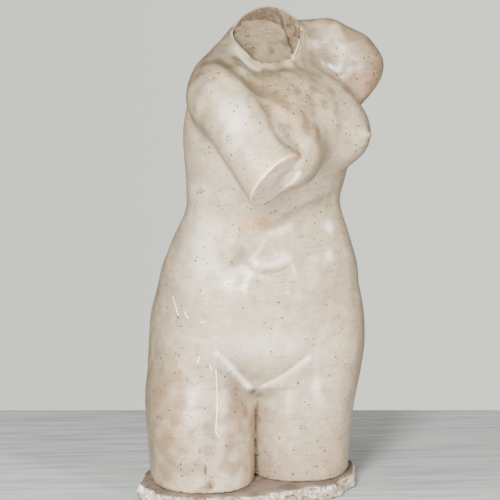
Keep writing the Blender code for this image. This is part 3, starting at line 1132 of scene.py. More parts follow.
def make_mottle() -> None:
    """Builds the group for cloudy patches at a broad and a fine scale."""
    board = new_group(
        Effect.MOTTLE,
        {"Place": "NodeSocketVector", "Broad": "NodeSocketFloat", "Fine": "NodeSocketFloat"},
        {"Cloud": "NodeSocketFloat", "Speckle": "NodeSocketFloat"},
    )
    inside, outside = board.tree.nodes["in"], board.tree.nodes["out"]
    cloud = board.add("ShaderNodeTexNoise", Detail=4.0, Roughness=0.6)
    speckle = board.add("ShaderNodeTexNoise", Detail=5.0, Roughness=0.7)
    for node, scale in ((cloud, "Broad"), (speckle, "Fine")):
        board.feed(node.inputs["Vector"], inside.outputs["Place"])
        board.feed(node.inputs["Scale"], inside.outputs[scale])
    board.feed(outside.inputs["Cloud"], board.ramp(cloud.outputs[0], 0.36, 0.64))
    board.feed(outside.inputs["Speckle"], board.ramp(speckle.outputs[0], 0.35, 0.66))


def make_pits() -> None:
    """Builds the group for scattered round pits, thinned out by a patchy noise."""
    board = new_group(
        Effect.PITS,
        {"Place": "NodeSocketVector", "Scale": "NodeSocketFloat", "Radius": "NodeSocketFloat",
         "Share": "NodeSocketFloat"},
        {"Pit": "NodeSocketFloat"},
    )
    inside, outside = board.tree.nodes["in"], board.tree.nodes["out"]
    cells = board.add("ShaderNodeTexVoronoi", feature="F1")
    board.feed(cells.inputs["Vector"], inside.outputs["Place"])
    board.feed(cells.inputs["Scale"], inside.outputs["Scale"])
    draw = board.add("ShaderNodeSeparateColor")
    board.feed(draw.inputs[0], cells.outputs["Color"])
    chosen = board.sum("LESS_THAN", draw.outputs[0], inside.outputs["Share"])
    size = board.sum("MULTIPLY", inside.outputs["Radius"], draw.outputs[1])
    depth = board.sum("SUBTRACT", 1.0, board.sum("DIVIDE", cells.outputs["Distance"], size))
    pit = board.sum("MULTIPLY", chosen, board.ramp(depth, 0.0, 0.5))
    board.feed(outside.inputs["Pit"], pit)


def make_scratch() -> None:
    """Builds the group for one thin line between two places."""
    board = new_group(
        Effect.SCRATCH,
        {"Place": "NodeSocketVector", "Start": "NodeSocketVector", "End": "NodeSocketVector",
         "Width": "NodeSocketFloat"},
        {"Line": "NodeSocketFloat"},
    )
    inside, outside = board.tree.nodes["in"], board.tree.nodes["out"]

    def vector(operation: str, *values: Value) -> bpy.types.Node:
        """Adds a vector operation.

        Args:
            operation: the Vector Math node's operation.
            values: values or outputs, in order.

        Returns:
            The node.
        """
        node = board.add("ShaderNodeVectorMath", operation=operation)
        for socket, value in zip(node.inputs, values):
            board.feed(socket, value)
        return node

    start = inside.outputs["Start"]
    axis = vector("SUBTRACT", inside.outputs["End"], start).outputs["Vector"]
    away = vector("SUBTRACT", inside.outputs["Place"], start).outputs["Vector"]
    axis = vector("MULTIPLY", axis, SCRATCH_WEIGHTS).outputs["Vector"]
    away = vector("MULTIPLY", away, SCRATCH_WEIGHTS).outputs["Vector"]
    along = board.sum("DIVIDE", vector("DOT_PRODUCT", away, axis).outputs["Value"],
                      vector("DOT_PRODUCT", axis, axis).outputs["Value"])
    clamped = board.add("ShaderNodeClamp")
    board.feed(clamped.inputs["Value"], along)
    foot = board.add("ShaderNodeVectorMath", operation="SCALE")
    board.feed(foot.inputs[0], axis)
    board.feed(foot.inputs["Scale"], clamped.outputs[0])
    gap = vector("LENGTH", vector("SUBTRACT", away, foot.outputs["Vector"]).outputs["Vector"])
    share = board.sum("DIVIDE", gap.outputs["Value"], inside.outputs["Width"])
    board.feed(outside.inputs["Line"], board.ramp(board.sum("SUBTRACT", 1.0, share), 0.0, 0.6))


def use(board: Board, effect: Effect, place: Socket, **values: Value) -> bpy.types.Node:
    """Places one of the shared effects in a material.

    Args:
        board: the material's board.
        effect: the effect.
        place: the output that it reads its place from.
        values: the group's other inputs by name.

    Returns:
        The group's node.
    """
    node = board.add("ShaderNodeGroup", node_tree=bpy.data.node_groups[effect.value])
    board.feed(node.inputs["Place"], place)
    for name, value in values.items():
        board.feed(node.inputs[name], value)
    return node


def new_material(name: str) -> tuple[Board, bpy.types.Node]:
    """Starts a material.

    Args:
        name: the material's name.

    Returns:
        Its board and its Principled BSDF.
    """
    material = bpy.data.materials.new(name)
    material.use_nodes = True
    return Board(material.node_tree), material.node_tree.nodes["Principled BSDF"]


@dataclass(frozen=True)
class Scratch:
    """A pale scratch between two places in parts, with its half width in parts."""

    start: Point
    end: Point
    width: float


@dataclass(frozen=True)
class PlasterFinish:
    """Aged cast plaster with a waxy sheen, mottled, pitted and scratched, with painted shade and
    highlights.
    """

    body: Colour = linear(190, 174, 143)
    cloud: Colour = linear(128, 122, 92)
    rosy: Colour = linear(166, 128, 104)
    grime_and_shade: Colour = linear(74, 58, 40)
    bare: Colour = linear(250, 240, 226)
    speck: Colour = linear(42, 32, 24)
    scratches: tuple[Scratch, ...] = ()
    cracks: tuple[Scratch, ...] = ()

    def build(self, figure: Figure) -> bpy.types.Material:
        """Makes the material.

        Args:
            figure: the figure's measure, for placing the scratches.

        Returns:
            The material.
        """
        board, shader = new_material("aged plaster")
        place = board.places()
        mottle = use(board, Effect.MOTTLE, place, Broad=9.0, Fine=150.0)
        rosy = use(board, Effect.MOTTLE, place, Broad=15.0, Fine=420.0)
        blotch = use(board, Effect.MOTTLE, place, Broad=46.0, Fine=90.0)
        flattened = board.add("ShaderNodeMapping")
        board.feed(flattened.inputs["Vector"], place)
        flattened.inputs["Scale"].default_value = (26.0, 26.0, 190.0)
        streaks = board.ramp(board.noise(flattened.outputs["Vector"], 1.0, 4.0, 0.65), 0.52, 0.72)
        patchy = board.ramp(board.noise(place, 24.0), 0.40, 0.60)
        strewn = board.sum("MULTIPLY", board.painted("specked"), patchy)
        thick = board.sum("MULTIPLY", strewn, 0.95)
        pits = use(board, Effect.PITS, place, Scale=58.0, Radius=0.14, Share=0.14)
        specks = use(board, Effect.PITS, place, Scale=175.0, Radius=0.47, Share=thick)
        colour = self.body
        for mask, strength, tone in (
            (mottle.outputs["Cloud"], 0.55, self.cloud),
            (rosy.outputs["Cloud"], 0.36, self.rosy),
            (blotch.outputs["Cloud"], 0.38, self.cloud),
            (blotch.outputs["Speckle"], 0.22, self.rosy),
            (mottle.outputs["Speckle"], 0.22, self.grime_and_shade),
            (rosy.outputs["Speckle"], 0.12, self.bare),
            (streaks, 0.34, self.grime_and_shade),
        ):
            colour = board.mix(board.sum("MULTIPLY", mask, strength), colour, tone)
        # The tints multiply the colour: stains, painted shade and painted highlights
        colour = board.mix(1.0, colour, board.painted("stains_and_shading", colour=True), "MULTIPLY")
        # Grime and painted shade in the hollows
        hollow = board.painted("hollow")
        colour = board.mix(board.sum("MULTIPLY", hollow, 0.55), colour, self.grime_and_shade)
        # Painted highlights, and a few milky pale patches, lean toward bare plaster
        pale_and_highlight = board.painted("pale_and_highlight")
        colour = board.mix(board.sum("MULTIPLY", pale_and_highlight, 0.90), colour, self.bare)
        marks = board.sum("MAXIMUM", specks.outputs["Pit"], pits.outputs["Pit"])
        colour = board.mix(board.sum("MULTIPLY", marks, 0.88), colour, self.speck)
        lines = self.lines(board, place, figure, self.scratches)
        colour = board.mix(lines, colour, self.bare)
        # Dark cracks and rust marks, and a painted shadow along the right arm's crease
        dark_marks = self.lines(board, place, figure, self.cracks)
        colour = board.mix(board.sum("MULTIPLY", dark_marks, 0.78), colour, self.speck)
        board.feed(shader.inputs["Base Color"], colour)
        rough = board.sum("MULTIPLY_ADD", mottle.outputs["Speckle"], 0.12, 0.33)
        rough = board.sum("MULTIPLY_ADD", board.painted("raw"), 0.40, rough)
        board.feed(shader.inputs["Roughness"], rough)
        shader.inputs["Specular IOR Level"].default_value = 0.5
        shader.inputs["Coat Roughness"].default_value = 0.32
        coat = board.sum("MULTIPLY_ADD", board.painted("raw"), -0.50, 0.50)
        board.feed(shader.inputs["Coat Weight"], coat)
        board.feed(shader.inputs["Normal"], self.relief(board, place, marks, lines))
        return bpy.data.materials["aged plaster"]

    def lines(self, board: Board, place: Socket, figure: Figure,
              scratches: Sequence[Scratch]) -> Socket:
        """Draws several scratches.

        Args:
            board: the material's board.
            place: the surface's place.
            figure: the figure's measure.
            scratches: the scratches.

        Returns:
            The output of their mask.
        """
        mask: Value = 0.0
        for scratch in scratches:
            node = use(
                board, Effect.SCRATCH, place, Start=tuple(figure.place(scratch.start)),
                End=tuple(figure.place(scratch.end)), Width=scratch.width * figure.part,
            )
            mask = board.sum("MAXIMUM", mask, node.outputs["Line"])
        return mask

    def relief(self, board: Board, place: Socket, marks: Socket,
               lines: Socket) -> Socket:
        """Makes the fine bump: hand-rubbed waves, grain, pits and scratches.

        Args:
            board: the material's board.
            place: the surface's place.
            marks: the mask of the pits and specks.
            lines: the mask of the scratches.

        Returns:
            The normal's output.
        """
        rubbed = board.noise(place, 60.0, 2.0)
        grain = board.noise(place, 600.0, 3.0)
        height = board.sum("MULTIPLY_ADD", grain, 0.10, rubbed)
        height = board.sum("MULTIPLY_ADD", marks, -0.8, height)
        height = board.sum("MULTIPLY_ADD", lines, -0.3, height)
        bump = board.add("ShaderNodeBump", Strength=0.25, Distance=0.0008)
        board.feed(bump.inputs["Height"], height)
        return bump.outputs["Normal"]


@dataclass(frozen=True)
class PlinthFinish:
    """Rough plaster slab: brown and dirty on top, pale and crumbly where it is broken."""

    dirt_and_shade: Colour = linear(84, 68, 54)
    dust: Colour = linear(112, 96, 80)
    broken: Colour = linear(170, 150, 128)
    chalk: Colour = linear(214, 206, 194)
    rust: Colour = linear(126, 92, 68)
    fresh: Colour = linear(250, 246, 242)

    def build(self) -> bpy.types.Material:
        """Makes the material.

        Returns:
            The material.
        """
        board, shader = new_material("plinth plaster")
        place = board.places()
        mottle = use(board, Effect.MOTTLE, place, Broad=28.0, Fine=260.0)
        crumb = use(board, Effect.MOTTLE, place, Broad=70.0, Fine=500.0)
        top = board.mix(mottle.outputs["Cloud"], self.dirt_and_shade, self.dust)
        side = board.mix(mottle.outputs["Cloud"], self.broken, self.chalk)
        fresh = board.sum("MULTIPLY", board.painted("fresh"), 0.85)
        side = board.mix(fresh, side, self.fresh)
        stained = board.sum("MULTIPLY", crumb.outputs["Cloud"], 0.6)
        side = board.mix(stained, side, self.rust)
        cracks = board.ramp(board.noise(place, 130.0, 4.0, 0.7), 0.54, 0.66)
        side = board.mix(board.sum("MULTIPLY", cracks, 0.6), side, self.dirt_and_shade)
        ragged = board.sum("MULTIPLY_ADD", crumb.outputs["Speckle"], 0.35, board.painted("broken"))
        colour = board.mix(board.ramp(ragged, 0.45, 0.80), top, side)
        # Dirt and painted shade in the hollows of the chipped edge
        hollow = board.painted("hollow")
        colour = board.mix(board.sum("MULTIPLY", hollow, 0.5), colour, self.dirt_and_shade)
        board.feed(shader.inputs["Base Color"], colour)
        shader.inputs["Roughness"].default_value = 0.85
        height = board.sum("MULTIPLY_ADD", crumb.outputs["Speckle"], 0.5, crumb.outputs["Cloud"])
        bump = board.add("ShaderNodeBump", Strength=0.6, Distance=0.0012)
        board.feed(bump.inputs["Height"], height)
        board.feed(shader.inputs["Normal"], bump.outputs["Normal"])
        return bpy.data.materials["plinth plaster"]


@dataclass(frozen=True)
class FloorFinish:
    """Pale grey limed boards, with a faint streak along them."""

    pale: Colour = linear(176, 177, 174)
    streak: Colour = linear(150, 151, 151)

    def build(self) -> bpy.types.Material:
        """Makes the material.

        Returns:
            The material.
        """
        board, shader = new_material("limed boards")
        stretch = board.add("ShaderNodeMapping")
        board.feed(stretch.inputs["Vector"], board.places())
        stretch.inputs["Scale"].default_value = (2.0, 26.0, 2.0)
        streaks = board.noise(stretch.outputs["Vector"], 2.2, 5.0, 0.6)
        colour = board.mix(board.ramp(streaks, 0.38, 0.66), self.pale, self.streak)
        board.feed(shader.inputs["Base Color"], colour)
        shader.inputs["Roughness"].default_value = 0.6
        return bpy.data.materials["limed boards"]


class Coat:
    """What is painted on a skin: grime and painted shade in hollows, pale patches and painted
    highlights, raw places, and tints.
    """

    def __init__(self, hollow: np.ndarray) -> None:
        """Starts with grime and painted shade in the hollows and nothing else.

        Args:
            hollow: how deep in a hollow each point lies, 0 to 1.
        """
        self.hollow = hollow
        self.pale_and_highlight = np.zeros(len(hollow))
        self.raw = np.zeros(len(hollow))
        self.stains_and_shading = np.ones((len(hollow), 3))

    def tint(self, share: np.ndarray, colour: Colour) -> None:
        """Multiplies the tints, of stains and of painted shade and light, by a colour where the
        share is above zero.
        """
        self.stains_and_shading *= 1 - share[:, None] + share[:, None] * np.array(colour)

    def lighten(self, share: np.ndarray) -> None:
        """Lightens the skin toward pale plaster: painted highlights, and a few milky pale patches.
        """
        self.pale_and_highlight = np.maximum(self.pale_and_highlight, share)

    def bare(self, share: np.ndarray) -> None:
        """Leaves raw plaster without a sheen."""
        self.raw = np.maximum(self.raw, share)

    def keep(self, skin: Skin) -> None:
        """Paints the masks and the tints, with their painted shade and highlights, on a skin's
        points.

        Args:
            skin: the skin.
        """
        skin.paint("hollow", self.hollow)
        skin.paint("pale_and_highlight", self.pale_and_highlight)
        skin.paint("raw", self.raw)
        skin.paint("stains_and_shading", self.stains_and_shading)


@dataclass
class TorsoPiece:
    """The torso: its fine skin, folds, breaks, painted age and painted shade and highlights.

    The skin's face size and unevenness are in metres, and the depths of its relief in parts.
    """

    figure: Figure
    form: Form
    voxel: float = 0.0041
    unevenness: float = 0.00020
    longest_move: float = 4
    hollow_depth: float = 3.0
    strip_depth: float = 1.8
    chip_depth: float = 2.6
    pit_depth: float = 1.8
    bevel_slope: float = 0.35
    highlight_lines: tuple[PaintLine, ...] = ()
    shade_lines: tuple[PaintLine, ...] = ()
    stains_and_shade: tuple[TintPatch, ...] = ()
    veils_and_highlights: tuple[TintPatch, ...] = ()
    finish: PlasterFinish = field(default_factory=PlasterFinish)

    def make(self) -> bpy.types.Object:
        """Models and dresses the torso.

        Returns:
            The finished piece.
        """
        piece = copied_solid("torso", "torso_skin")
        skin = fine_skin(piece, self.voxel)
        for _ in range(3):
            skin.smooth(2)
            self.settle(skin, 1)
        self.settle(skin, 2)
        for reach in (7, 3.5):
            skin = refined(piece, self.near_breaks(skin, reach))
            self.settle(skin, 2)
        between = self.form.crease(self.figure.parts(skin.points), 14)
        skin.smooth(6, hold=1 - between)
        self.carve_neck(skin)
        self.carve_arm(skin)
        self.wear(skin)
        self.paint(skin)
        skin.keep_within(*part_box("torso"))
        piece.data.materials.append(self.finish.build(self.figure))
        return piece

    def settle(self, skin: Skin, rounds: int) -> None:
        """Moves the skin's points along its own directions onto the form.

        Args:
            skin: the torso's skin.
            rounds: how often they move.
        """
        for _ in range(rounds):
            places = self.figure.parts(skin.points)
            value = self.form(places)
            slope = (self.form(places + 0.5 * skin.normals) - value) / 0.5
            move = value / np.maximum(slope, 0.5)
            move = np.clip(move, -self.longest_move, self.longest_move)
            skin.raise_by(-move * self.figure.part)

    def near_breaks(self, skin: Skin, reach: float) -> np.ndarray:
        """Finds the points on the breaks' rims, on the neck's face and between the thighs.

        Args:
            skin: the torso's skin.
            reach: how far from a rim a point may be, in parts.

        Returns:
            True for those points.
        """
        places = self.figure.parts(skin.points)
        near = self.form.neck_rim(places, reach)
        for limb in (self.form.right_arm, self.form.left_arm):
            near = np.maximum(near, limb.rim(places, reach))
        near = np.maximum(near, BreakFace(self.form.neck).mask(places, 4, 60))
        near = np.maximum(near, self.form.crease(places, 1.6 * reach))
        return near > 0.37

    def neck_zones(self, places: np.ndarray) -> tuple[np.ndarray, ...]:
        """Maps the neck's broken face.

        Args:
            places: places on the skin, in parts.

        Returns:
            Masks of the face inside its rim, of the deep crescent along its top, of the strip
            beyond the straight step, of the chipped place at its right, and of the edges of the
            crescent and the step, along which painted shadow goes.
        """
        face = BreakFace(self.form.neck)
        right, up = face.across(places)
        ragged = Waves(20, 24, 5)(places)
        inner = face.mask(places, 6, 62) * (1 - self.form.neck_rim(places, 2.2))
        strip = smooth_step((right - 31 + 0.25 * up - 1.2 * ragged) / 1.6)
        arc = 33 - 0.012 * (right + 12) ** 2 + 3 * ragged
        crescent = smooth_step((up - arc) / 2.0) * (1 - strip)
        away = np.hypot(right - 56, (up - 14) / 1.7)
        chip = smooth_step((13 + 5 * ragged - away) / 4) * face.mask(places, 9, 80)
        step_edge = np.exp(-(((right - 31 + 0.25 * up - 1.2 * ragged) / 1.8) ** 2))
        arc_edge = np.exp(-(((up - arc) / 1.8) ** 2)) * (1 - strip)
        edges = np.maximum(step_edge, 0.7 * arc_edge) * inner
        return inner, crescent * inner, strip * inner, chip, edges

    def carve_neck(self, skin: Skin) -> None:
        """Breaks the neck's face into steps, with pits and a chipped rim.

        Args:
            skin: the torso's skin.
        """
        places = self.figure.parts(skin.points)
        inner, crescent, strip, chip, _ = self.neck_zones(places)
        right, up = BreakFace(self.form.neck).across(places)
        depth = self.hollow_depth * crescent + self.strip_depth * strip + self.chip_depth * chip
        depth += 0.35 * inner * Waves(15, 40, 6)(places) + 0.08 * inner * Waves(6, 40, 7)(places)
        for x, y, radius in NECK_PITS:
            gap = np.hypot(right - x, up - y) / radius
            depth += self.pit_depth * np.exp(-(gap**2)) * inner
        skin.raise_by(-depth * self.figure.part)

    def carve_arm(self, skin: Skin) -> None:
        """Chamfers the lower right edge of the right arm's break."""
        depth = self.bevel_slope * self.bevel(self.figure.parts(skin.points))
        skin.raise_by(-depth * self.figure.part)

    def bevel(self, places: np.ndarray) -> np.ndarray:
        """Measures the bevel at the lower right of the right arm's break.

        Args:
            places: points in parts, one to a row.

        Returns:
            How far each place lies past the line where the bevel starts.
        """
        face = BreakFace(self.form.right_arm)
        right, up = face.across(places)
        slope = (right - 38) * 0.96 - (up - 5) * 0.10
        lip = smooth_step((26 - np.abs(up - 2)) / 8) * face.mask(places, 4, 60)
        return np.clip(slope, 0, 12) * lip

    def wear(self, skin: Skin) -> None:
        """Gives the surface the slight unevenness of a hand-finished cast.

        Args:
            skin: the torso's skin.
        """
        broad = Waves(0.045, 40, 11)(skin.points)
        fine = Waves(0.014, 40, 12)(skin.points)
        skin.raise_by(self.unevenness * (broad + 0.35 * fine))

    def paint(self, skin: Skin) -> None:
        """Paints grime and painted shade in the hollows, the breaks, painted shade and highlights,
        stains and specks.

        Args:
            skin: the torso's skin.
        """
        places = self.figure.parts(skin.points)
        # Grime and painted shade darken the hollows, by how far the skin sinks below its
        # surroundings
        hollow = smooth_step(-skin.bend(37) / 0.0016 - 0.2) * 0.4
        coat = Coat(hollow)
        self.paint_neck(places, coat)
        self.paint_arms(places, coat)
        self.paint_age(places, skin.normals, coat)
        coat.keep(skin)
        skin.paint("specked", self.specked(places))

    def paint_neck(self, places: np.ndarray, coat: Coat) -> None:
        """Colours the neck's broken face, with painted shadow along its steps and a painted
        highlight on its rim.

        Args:
            places: points in parts, one to a row.
            coat: the coat, which is added to.
        """
        inner, crescent, strip, chip, edges = self.neck_zones(places)
        coat.tint(inner, NECK_FACE)
        # Painted shadow along the step and the crescent's edge
        coat.tint(0.8 * edges, NECK_STEP_SHADOW)
        coat.tint(crescent, NECK_HOLLOW)
        coat.tint(strip, NECK_STRIP)
        coat.tint(chip, NECK_CHIP)
        _, up = BreakFace(self.form.neck).across(places)
        # Painted highlight on the orange rim, fading toward the top
        rim = self.form.neck_rim(places, 2.0) * smooth_step((34 - up) / 26)
        coat.tint(rim, NECK_RIM)
        coat.lighten(0.4 * rim)
        coat.bare(inner)

    def paint_arms(self, places: np.ndarray, coat: Coat) -> None:
        """Colours the right arm's break, brightened as painted light, with painted highlights on
        its rim and bevel, and the left stump.

        Args:
            places: points in parts, one to a row.
            coat: the coat, which is added to.
        """
        arm = BreakFace(self.form.right_arm)
        face = arm.mask(places, 5, 62) * (1 - self.form.right_arm.rim(places, 3.0))
        # The arm's break: paler bare plaster, brightened as painted light on a face in shade
        coat.tint(face, ARM_FACE)
        coat.bare(face)
        # Painted highlight along the arm's orange rim
        coat.tint(self.form.right_arm.rim(places, 2.6), ARM_RIM)
        # Painted highlight along the bevel
        gleam = self.form.stroke([arm.at(*spot) for spot in ARM_GLEAM], 4.5, 1, 0.2)
        coat.lighten(0.95 * gleam.mask(places))
        coat.tint(0.6 * self.form.left_arm.rim(places, 14), STUMP_RIM)

    def paint_age(self, places: np.ndarray, normals: np.ndarray, coat: Coat) -> None:
        """Paints lines of painted highlight and shade, painted shade in the crease and on the
        sides, stains and patches of painted shade, and pale patches and painted highlights.

        Args:
            places: points in parts, one to a row.
            normals: the way that the skin faces there.
            coat: the coat, which is added to.
        """
        ragged = np.clip(Waves(34, 30, 21)(places), -1.3, 1.3)
        # Painted highlights along ridges and edges, with the painted shade of the hollows taken
        # away under them
        for line in self.highlight_lines:
            mask = self.form.stroke(line.points, line.width, 1, 0.12).mask(places)
            coat.lighten(line.strength * mask)
            coat.hollow *= 1 - mask
        # Painted shade in hollows, creases and folds
        for line in self.shade_lines:
            mask = self.form.stroke(line.points, line.width, 1, 0.2).mask(places)
            coat.tint(line.strength * mask * (0.8 + 0.2 * ragged), line.colour)
        # Painted shadow in the crease and where the thighs part
        parting = self.form.parting(places, 2.6, 36)
        coat.tint(0.9 * np.maximum(self.form.crease(places, 5), parting), CREASE_SHADE)
        # Painted shade on the sides that turn away from LIT_FROM
        away = 1 - normals @ unit(LIT_FROM)
        coat.tint(0.8 * smooth_step((away - 0.35) / 0.6), SIDE_SHADE)
        # Stains, and patches of painted shade
        for patch in self.stains_and_shade:
            coat.tint(patch.mask(places, ragged), patch.colour)
        # Milky pale patches and painted highlights
        for pale_spot in self.veils_and_highlights:
            coat.lighten(pale_spot.mask(places, ragged))

    def specked(self, places: np.ndarray) -> np.ndarray:
        """Works out how thickly dark specks are strewn.

        Args:
            places: points in parts, one to a row.

        Returns:
            The share of specks at each place.
        """
        thick = np.full(len(places), 0.40)
        for place, radius in SPECKED:
            gap = np.linalg.norm(places - np.array(place), axis=1) / radius
            thick = np.maximum(thick, np.exp(-(gap**2)))
        return thick


@dataclass
class PlinthPiece:
    """The rough slab under the thighs."""

    voxel: float = 0.0020
    chip: float = 0.0034
    finish: PlinthFinish = field(default_factory=PlinthFinish)

    def make(self) -> bpy.types.Object:
        """Models and dresses the plinth.

        Returns:
            The finished piece.
        """
        piece = copied_solid("plinth", "plinth_slab")
        skin = fine_skin(piece, self.voxel)
        low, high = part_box("plinth")
        skin.smooth(6)
        side = 1 - smooth_step((np.abs(skin.normals[:, 2]) - 0.35) / 0.5)
        side = skin.blurred(side, 3)
        lumps = np.abs(Waves(0.030, 40, 31)(skin.points))
        flakes = np.abs(Waves(0.012, 50, 34)(skin.points * np.array([1.6, 1.6, 0.6])))
        crumbs = Waves(0.007, 60, 32)(skin.points)
        depth = self.chip * (0.7 * lumps + 0.8 * flakes + 0.3 * crumbs - 0.45)
        skin.raise_by(-np.maximum(depth, 0) * side)
        top = smooth_step((skin.points[:, 2] - high[2] + 0.004) / 0.003) * (1 - side)
        skin.raise_by(-0.0006 * np.abs(Waves(0.016, 40, 33)(skin.points)) * top)
        skin.keep_within(low, high)
        skin.paint("broken", side)
        skin.paint("fresh", side * smooth_step((low[0] + 0.055 - skin.points[:, 0]) / 0.03))
        # Darker in the hollows: dirt and painted shade
        skin.paint("hollow", smooth_step(-skin.bend(5) / 0.0005 - 0.2))
        piece.data.materials.append(self.finish.build())
        return piece


# Places on a break's face are right of its middle and up from it, and a pit has a radius too
NECK_PITS = ((0, 6, 2.2), (-17, 12, 1.8), (-32, 8, 2.0), (-29, -24, 1.5))
ARM_GLEAM = ((42, 22), (45, 2), (36, -24))

# Tints as shares of the plaster's own colour: breaks, rust and grime, painted shade and highlights
NECK_FACE = (0.40, 0.37, 0.31)
NECK_HOLLOW = (0.42, 0.36, 0.31)
NECK_STRIP = (0.82, 0.76, 0.72)
# Painted shadow along the neck face's step and the edge of its crescent
NECK_STEP_SHADOW = (0.22, 0.15, 0.11)
NECK_CHIP = (0.55, 0.41, 0.32)
# The arm's break is paler bare plaster, brightened further as painted light where it faces down
# into shade
ARM_FACE = (1.42, 1.45, 1.66)
# The arm's rim is orange, brightened as a painted highlight along its edge
ARM_RIM = (1.85, 1.45, 1.05)
# The neck's rim likewise: orange, brightened as a painted highlight
NECK_RIM = (1.70, 1.40, 1.15)
STUMP_RIM = (1.00, 0.75, 0.60)
# Painted shadow in the crease where the thighs meet
CREASE_SHADE = (0.14, 0.06, 0.04)
WARM_SHADE = (0.60, 0.43, 0.30)
RUST = (0.45, 0.24, 0.15)
DEEP_SHADE = (0.22, 0.20, 0.15)
SIDE_SHADE = (0.62, 0.54, 0.43)
GREY_SHADE = (0.47, 0.45, 0.37)

# Sides that look away from here get painted shade, the more the further they turn away
LIT_FROM = (-0.12, -0.97, 0.20)

# Painted highlights: the lower edges of the groins, beside the right arm's crease, the navel's lip
# and the line above it, and the neck's flare below its break
HIGHLIGHT_LINES = (
    PaintLine(((-72, -118, 236), (-50, -120, 217), (-28, -113, 189), (-3, -97, 160)), 4.2, 1.0),
    PaintLine(((93, -116, 223), (72, -117, 208), (40, -108, 183), (3, -93, 160)), 4.2, 1.0),
    PaintLine(((14, -212, 640), (27, -242, 616), (40, -256, 600)), 2.5, 0.6),
    PaintLine(((-10, -121, 382), (9, -122, 376), (33, -119, 378), (62, -109, 388)), 5, 0.5),
    PaintLine(((12, -121, 415), (1, -121, 398), (-12, -121, 380)), 3, 0.4),
    PaintLine(((-32, -72, 733), (-25, -95, 715), (-6, -106, 698), (10, -112, 690)), 5, 0.35),
)
# Painted shade: the hollow behind the right collarbone, the right arm's crease, the waist fold, the
# fold under the navel's lip, the belly's hollow on the figure's right, round the breast beside the
# right arm's break, before the left shoulder, the groove below its cap and the pit of the neck
SHADE_LINES = (
    PaintLine(((-72, -110, 726), (-43, -160, 712), (-15, -172, 690), (13, -179, 673),
               (48, -184, 655)), 10, 0.85, DEEP_SHADE),
    PaintLine(((-2, -199, 661), (12, -209, 645), (20, -242, 620), (33, -253, 604),
               (45, -263, 590)), 4, 0.9, DEEP_SHADE),
    PaintLine(((138, -58, 470), (103, -89, 470), (72, -106, 459), (30, -119, 440),
               (-8, -128, 446)), 8, 0.3, WARM_SHADE),
    PaintLine(((4, -124, 366), (30, -123, 363), (58, -115, 372)), 4.5, 0.8, WARM_SHADE),
    PaintLine(((-22, -123, 412), (-34, -120, 380), (-36, -126, 348)), 15, 0.75, GREY_SHADE),
    PaintLine(((80, -209, 615), (96, -200, 595), (89, -218, 568), (73, -223, 540),
               (55, -210, 522), (31, -213, 515)), 6, 0.5, WARM_SHADE),
    PaintLine(((87, -17, 756), (108, -30, 738), (114, -34, 718), (128, -31, 695),
               (147, -38, 666)), 12, 0.6, DEEP_SHADE),
    PaintLine(((172, -32, 705), (167, -33, 668), (154, -80, 646)), 7, 0.7, WARM_SHADE),
    PaintLine(((20, -115, 684), (42, -111, 682), (62, -104, 677)), 8, 0.35, WARM_SHADE),
)
# Stains of the plaster, with two patches of painted shade: on the inner thigh and where the thighs
# meet
STAINS_AND_SHADE = (
    TintPatch((6, -128, 446), 20, (1.00, 0.67, 0.41), 0.75, (1.9, 1, 0.6)),
    TintPatch((122, -82, 35), 18, (1.00, 0.73, 0.50), 0.6),
    TintPatch((70, -184, 640), 34, (0.95, 0.76, 0.69), 0.6),
    TintPatch((20, -190, 650), 60, (0.89, 0.83, 0.69), 0.6),
    TintPatch((-97, -161, 696), 12, GREY_SHADE, 0.8),
    TintPatch((-97, -102, 426), 15, GREY_SHADE, 0.6),
    # Painted shade on the inner side of the right thigh beside the crease
    TintPatch((-34, -108, 140), 46, (0.38, 0.27, 0.20), 0.85, (0.62, 1, 1.7)),
    TintPatch((-120, -60, 60), 60, (0.93, 0.78, 0.67), 0.7, (1, 1, 1.5)),
    TintPatch((-86, -142, 40), 7, RUST, 0.9, (0.7, 3, 1.5)),
    TintPatch((-78, -144, 13), 5, RUST, 0.8, (0.8, 3, 1.2)),
    TintPatch((-101, -142, 108), 7, GREY_SHADE, 1.0, (1, 3, 1)),
    # Painted shadow where the thighs meet below the groins
    TintPatch((-3, -93, 157), 6, (0.16, 0.08, 0.05), 0.9),
    TintPatch((48, -262, 588), 12, (0.89, 0.55, 0.34), 0.3),
    TintPatch((190, 0, 690), 70, (0.60, 0.53, 0.41), 0.75),
    TintPatch((110, -90, 340), 60, (0.87, 0.87, 0.75), 0.6),
    TintPatch((186, -114, 588), 12, (0.42, 0.27, 0.18), 0.9),
)
# Painted shade, mixed with grey-green grime on the chest: over the chest, the shoulders and the
# left stump, under the right arm, and down the outer sides of the waist and thighs
SHADES = (
    TintPatch((25, -150, 682), 62, GREY_SHADE, 0.78, (1.2, 1, 0.9)),
    TintPatch((100, -20, 722), 42, GREY_SHADE, 0.62),
    TintPatch((-84, -150, 690), 54, GREY_SHADE, 0.9),
    TintPatch((-45, -50, 725), 40, GREY_SHADE, 0.55),
    TintPatch((185, -20, 652), 36, (0.66, 0.46, 0.36), 0.55),
    TintPatch((-150, -80, 130), 66, (0.50, 0.40, 0.29), 0.75, (0.6, 1, 2.2)),
    TintPatch((-130, -70, 440), 44, GREY_SHADE, 0.5, (0.6, 1, 1.3)),
    TintPatch((165, -50, 180), 60, WARM_SHADE, 0.35, (0.5, 1, 2.4)),
    TintPatch((45, -235, 600), 34, GREY_SHADE, 0.35),
    TintPatch((70, -205, 560), 40, GREY_SHADE, 0.3),
)
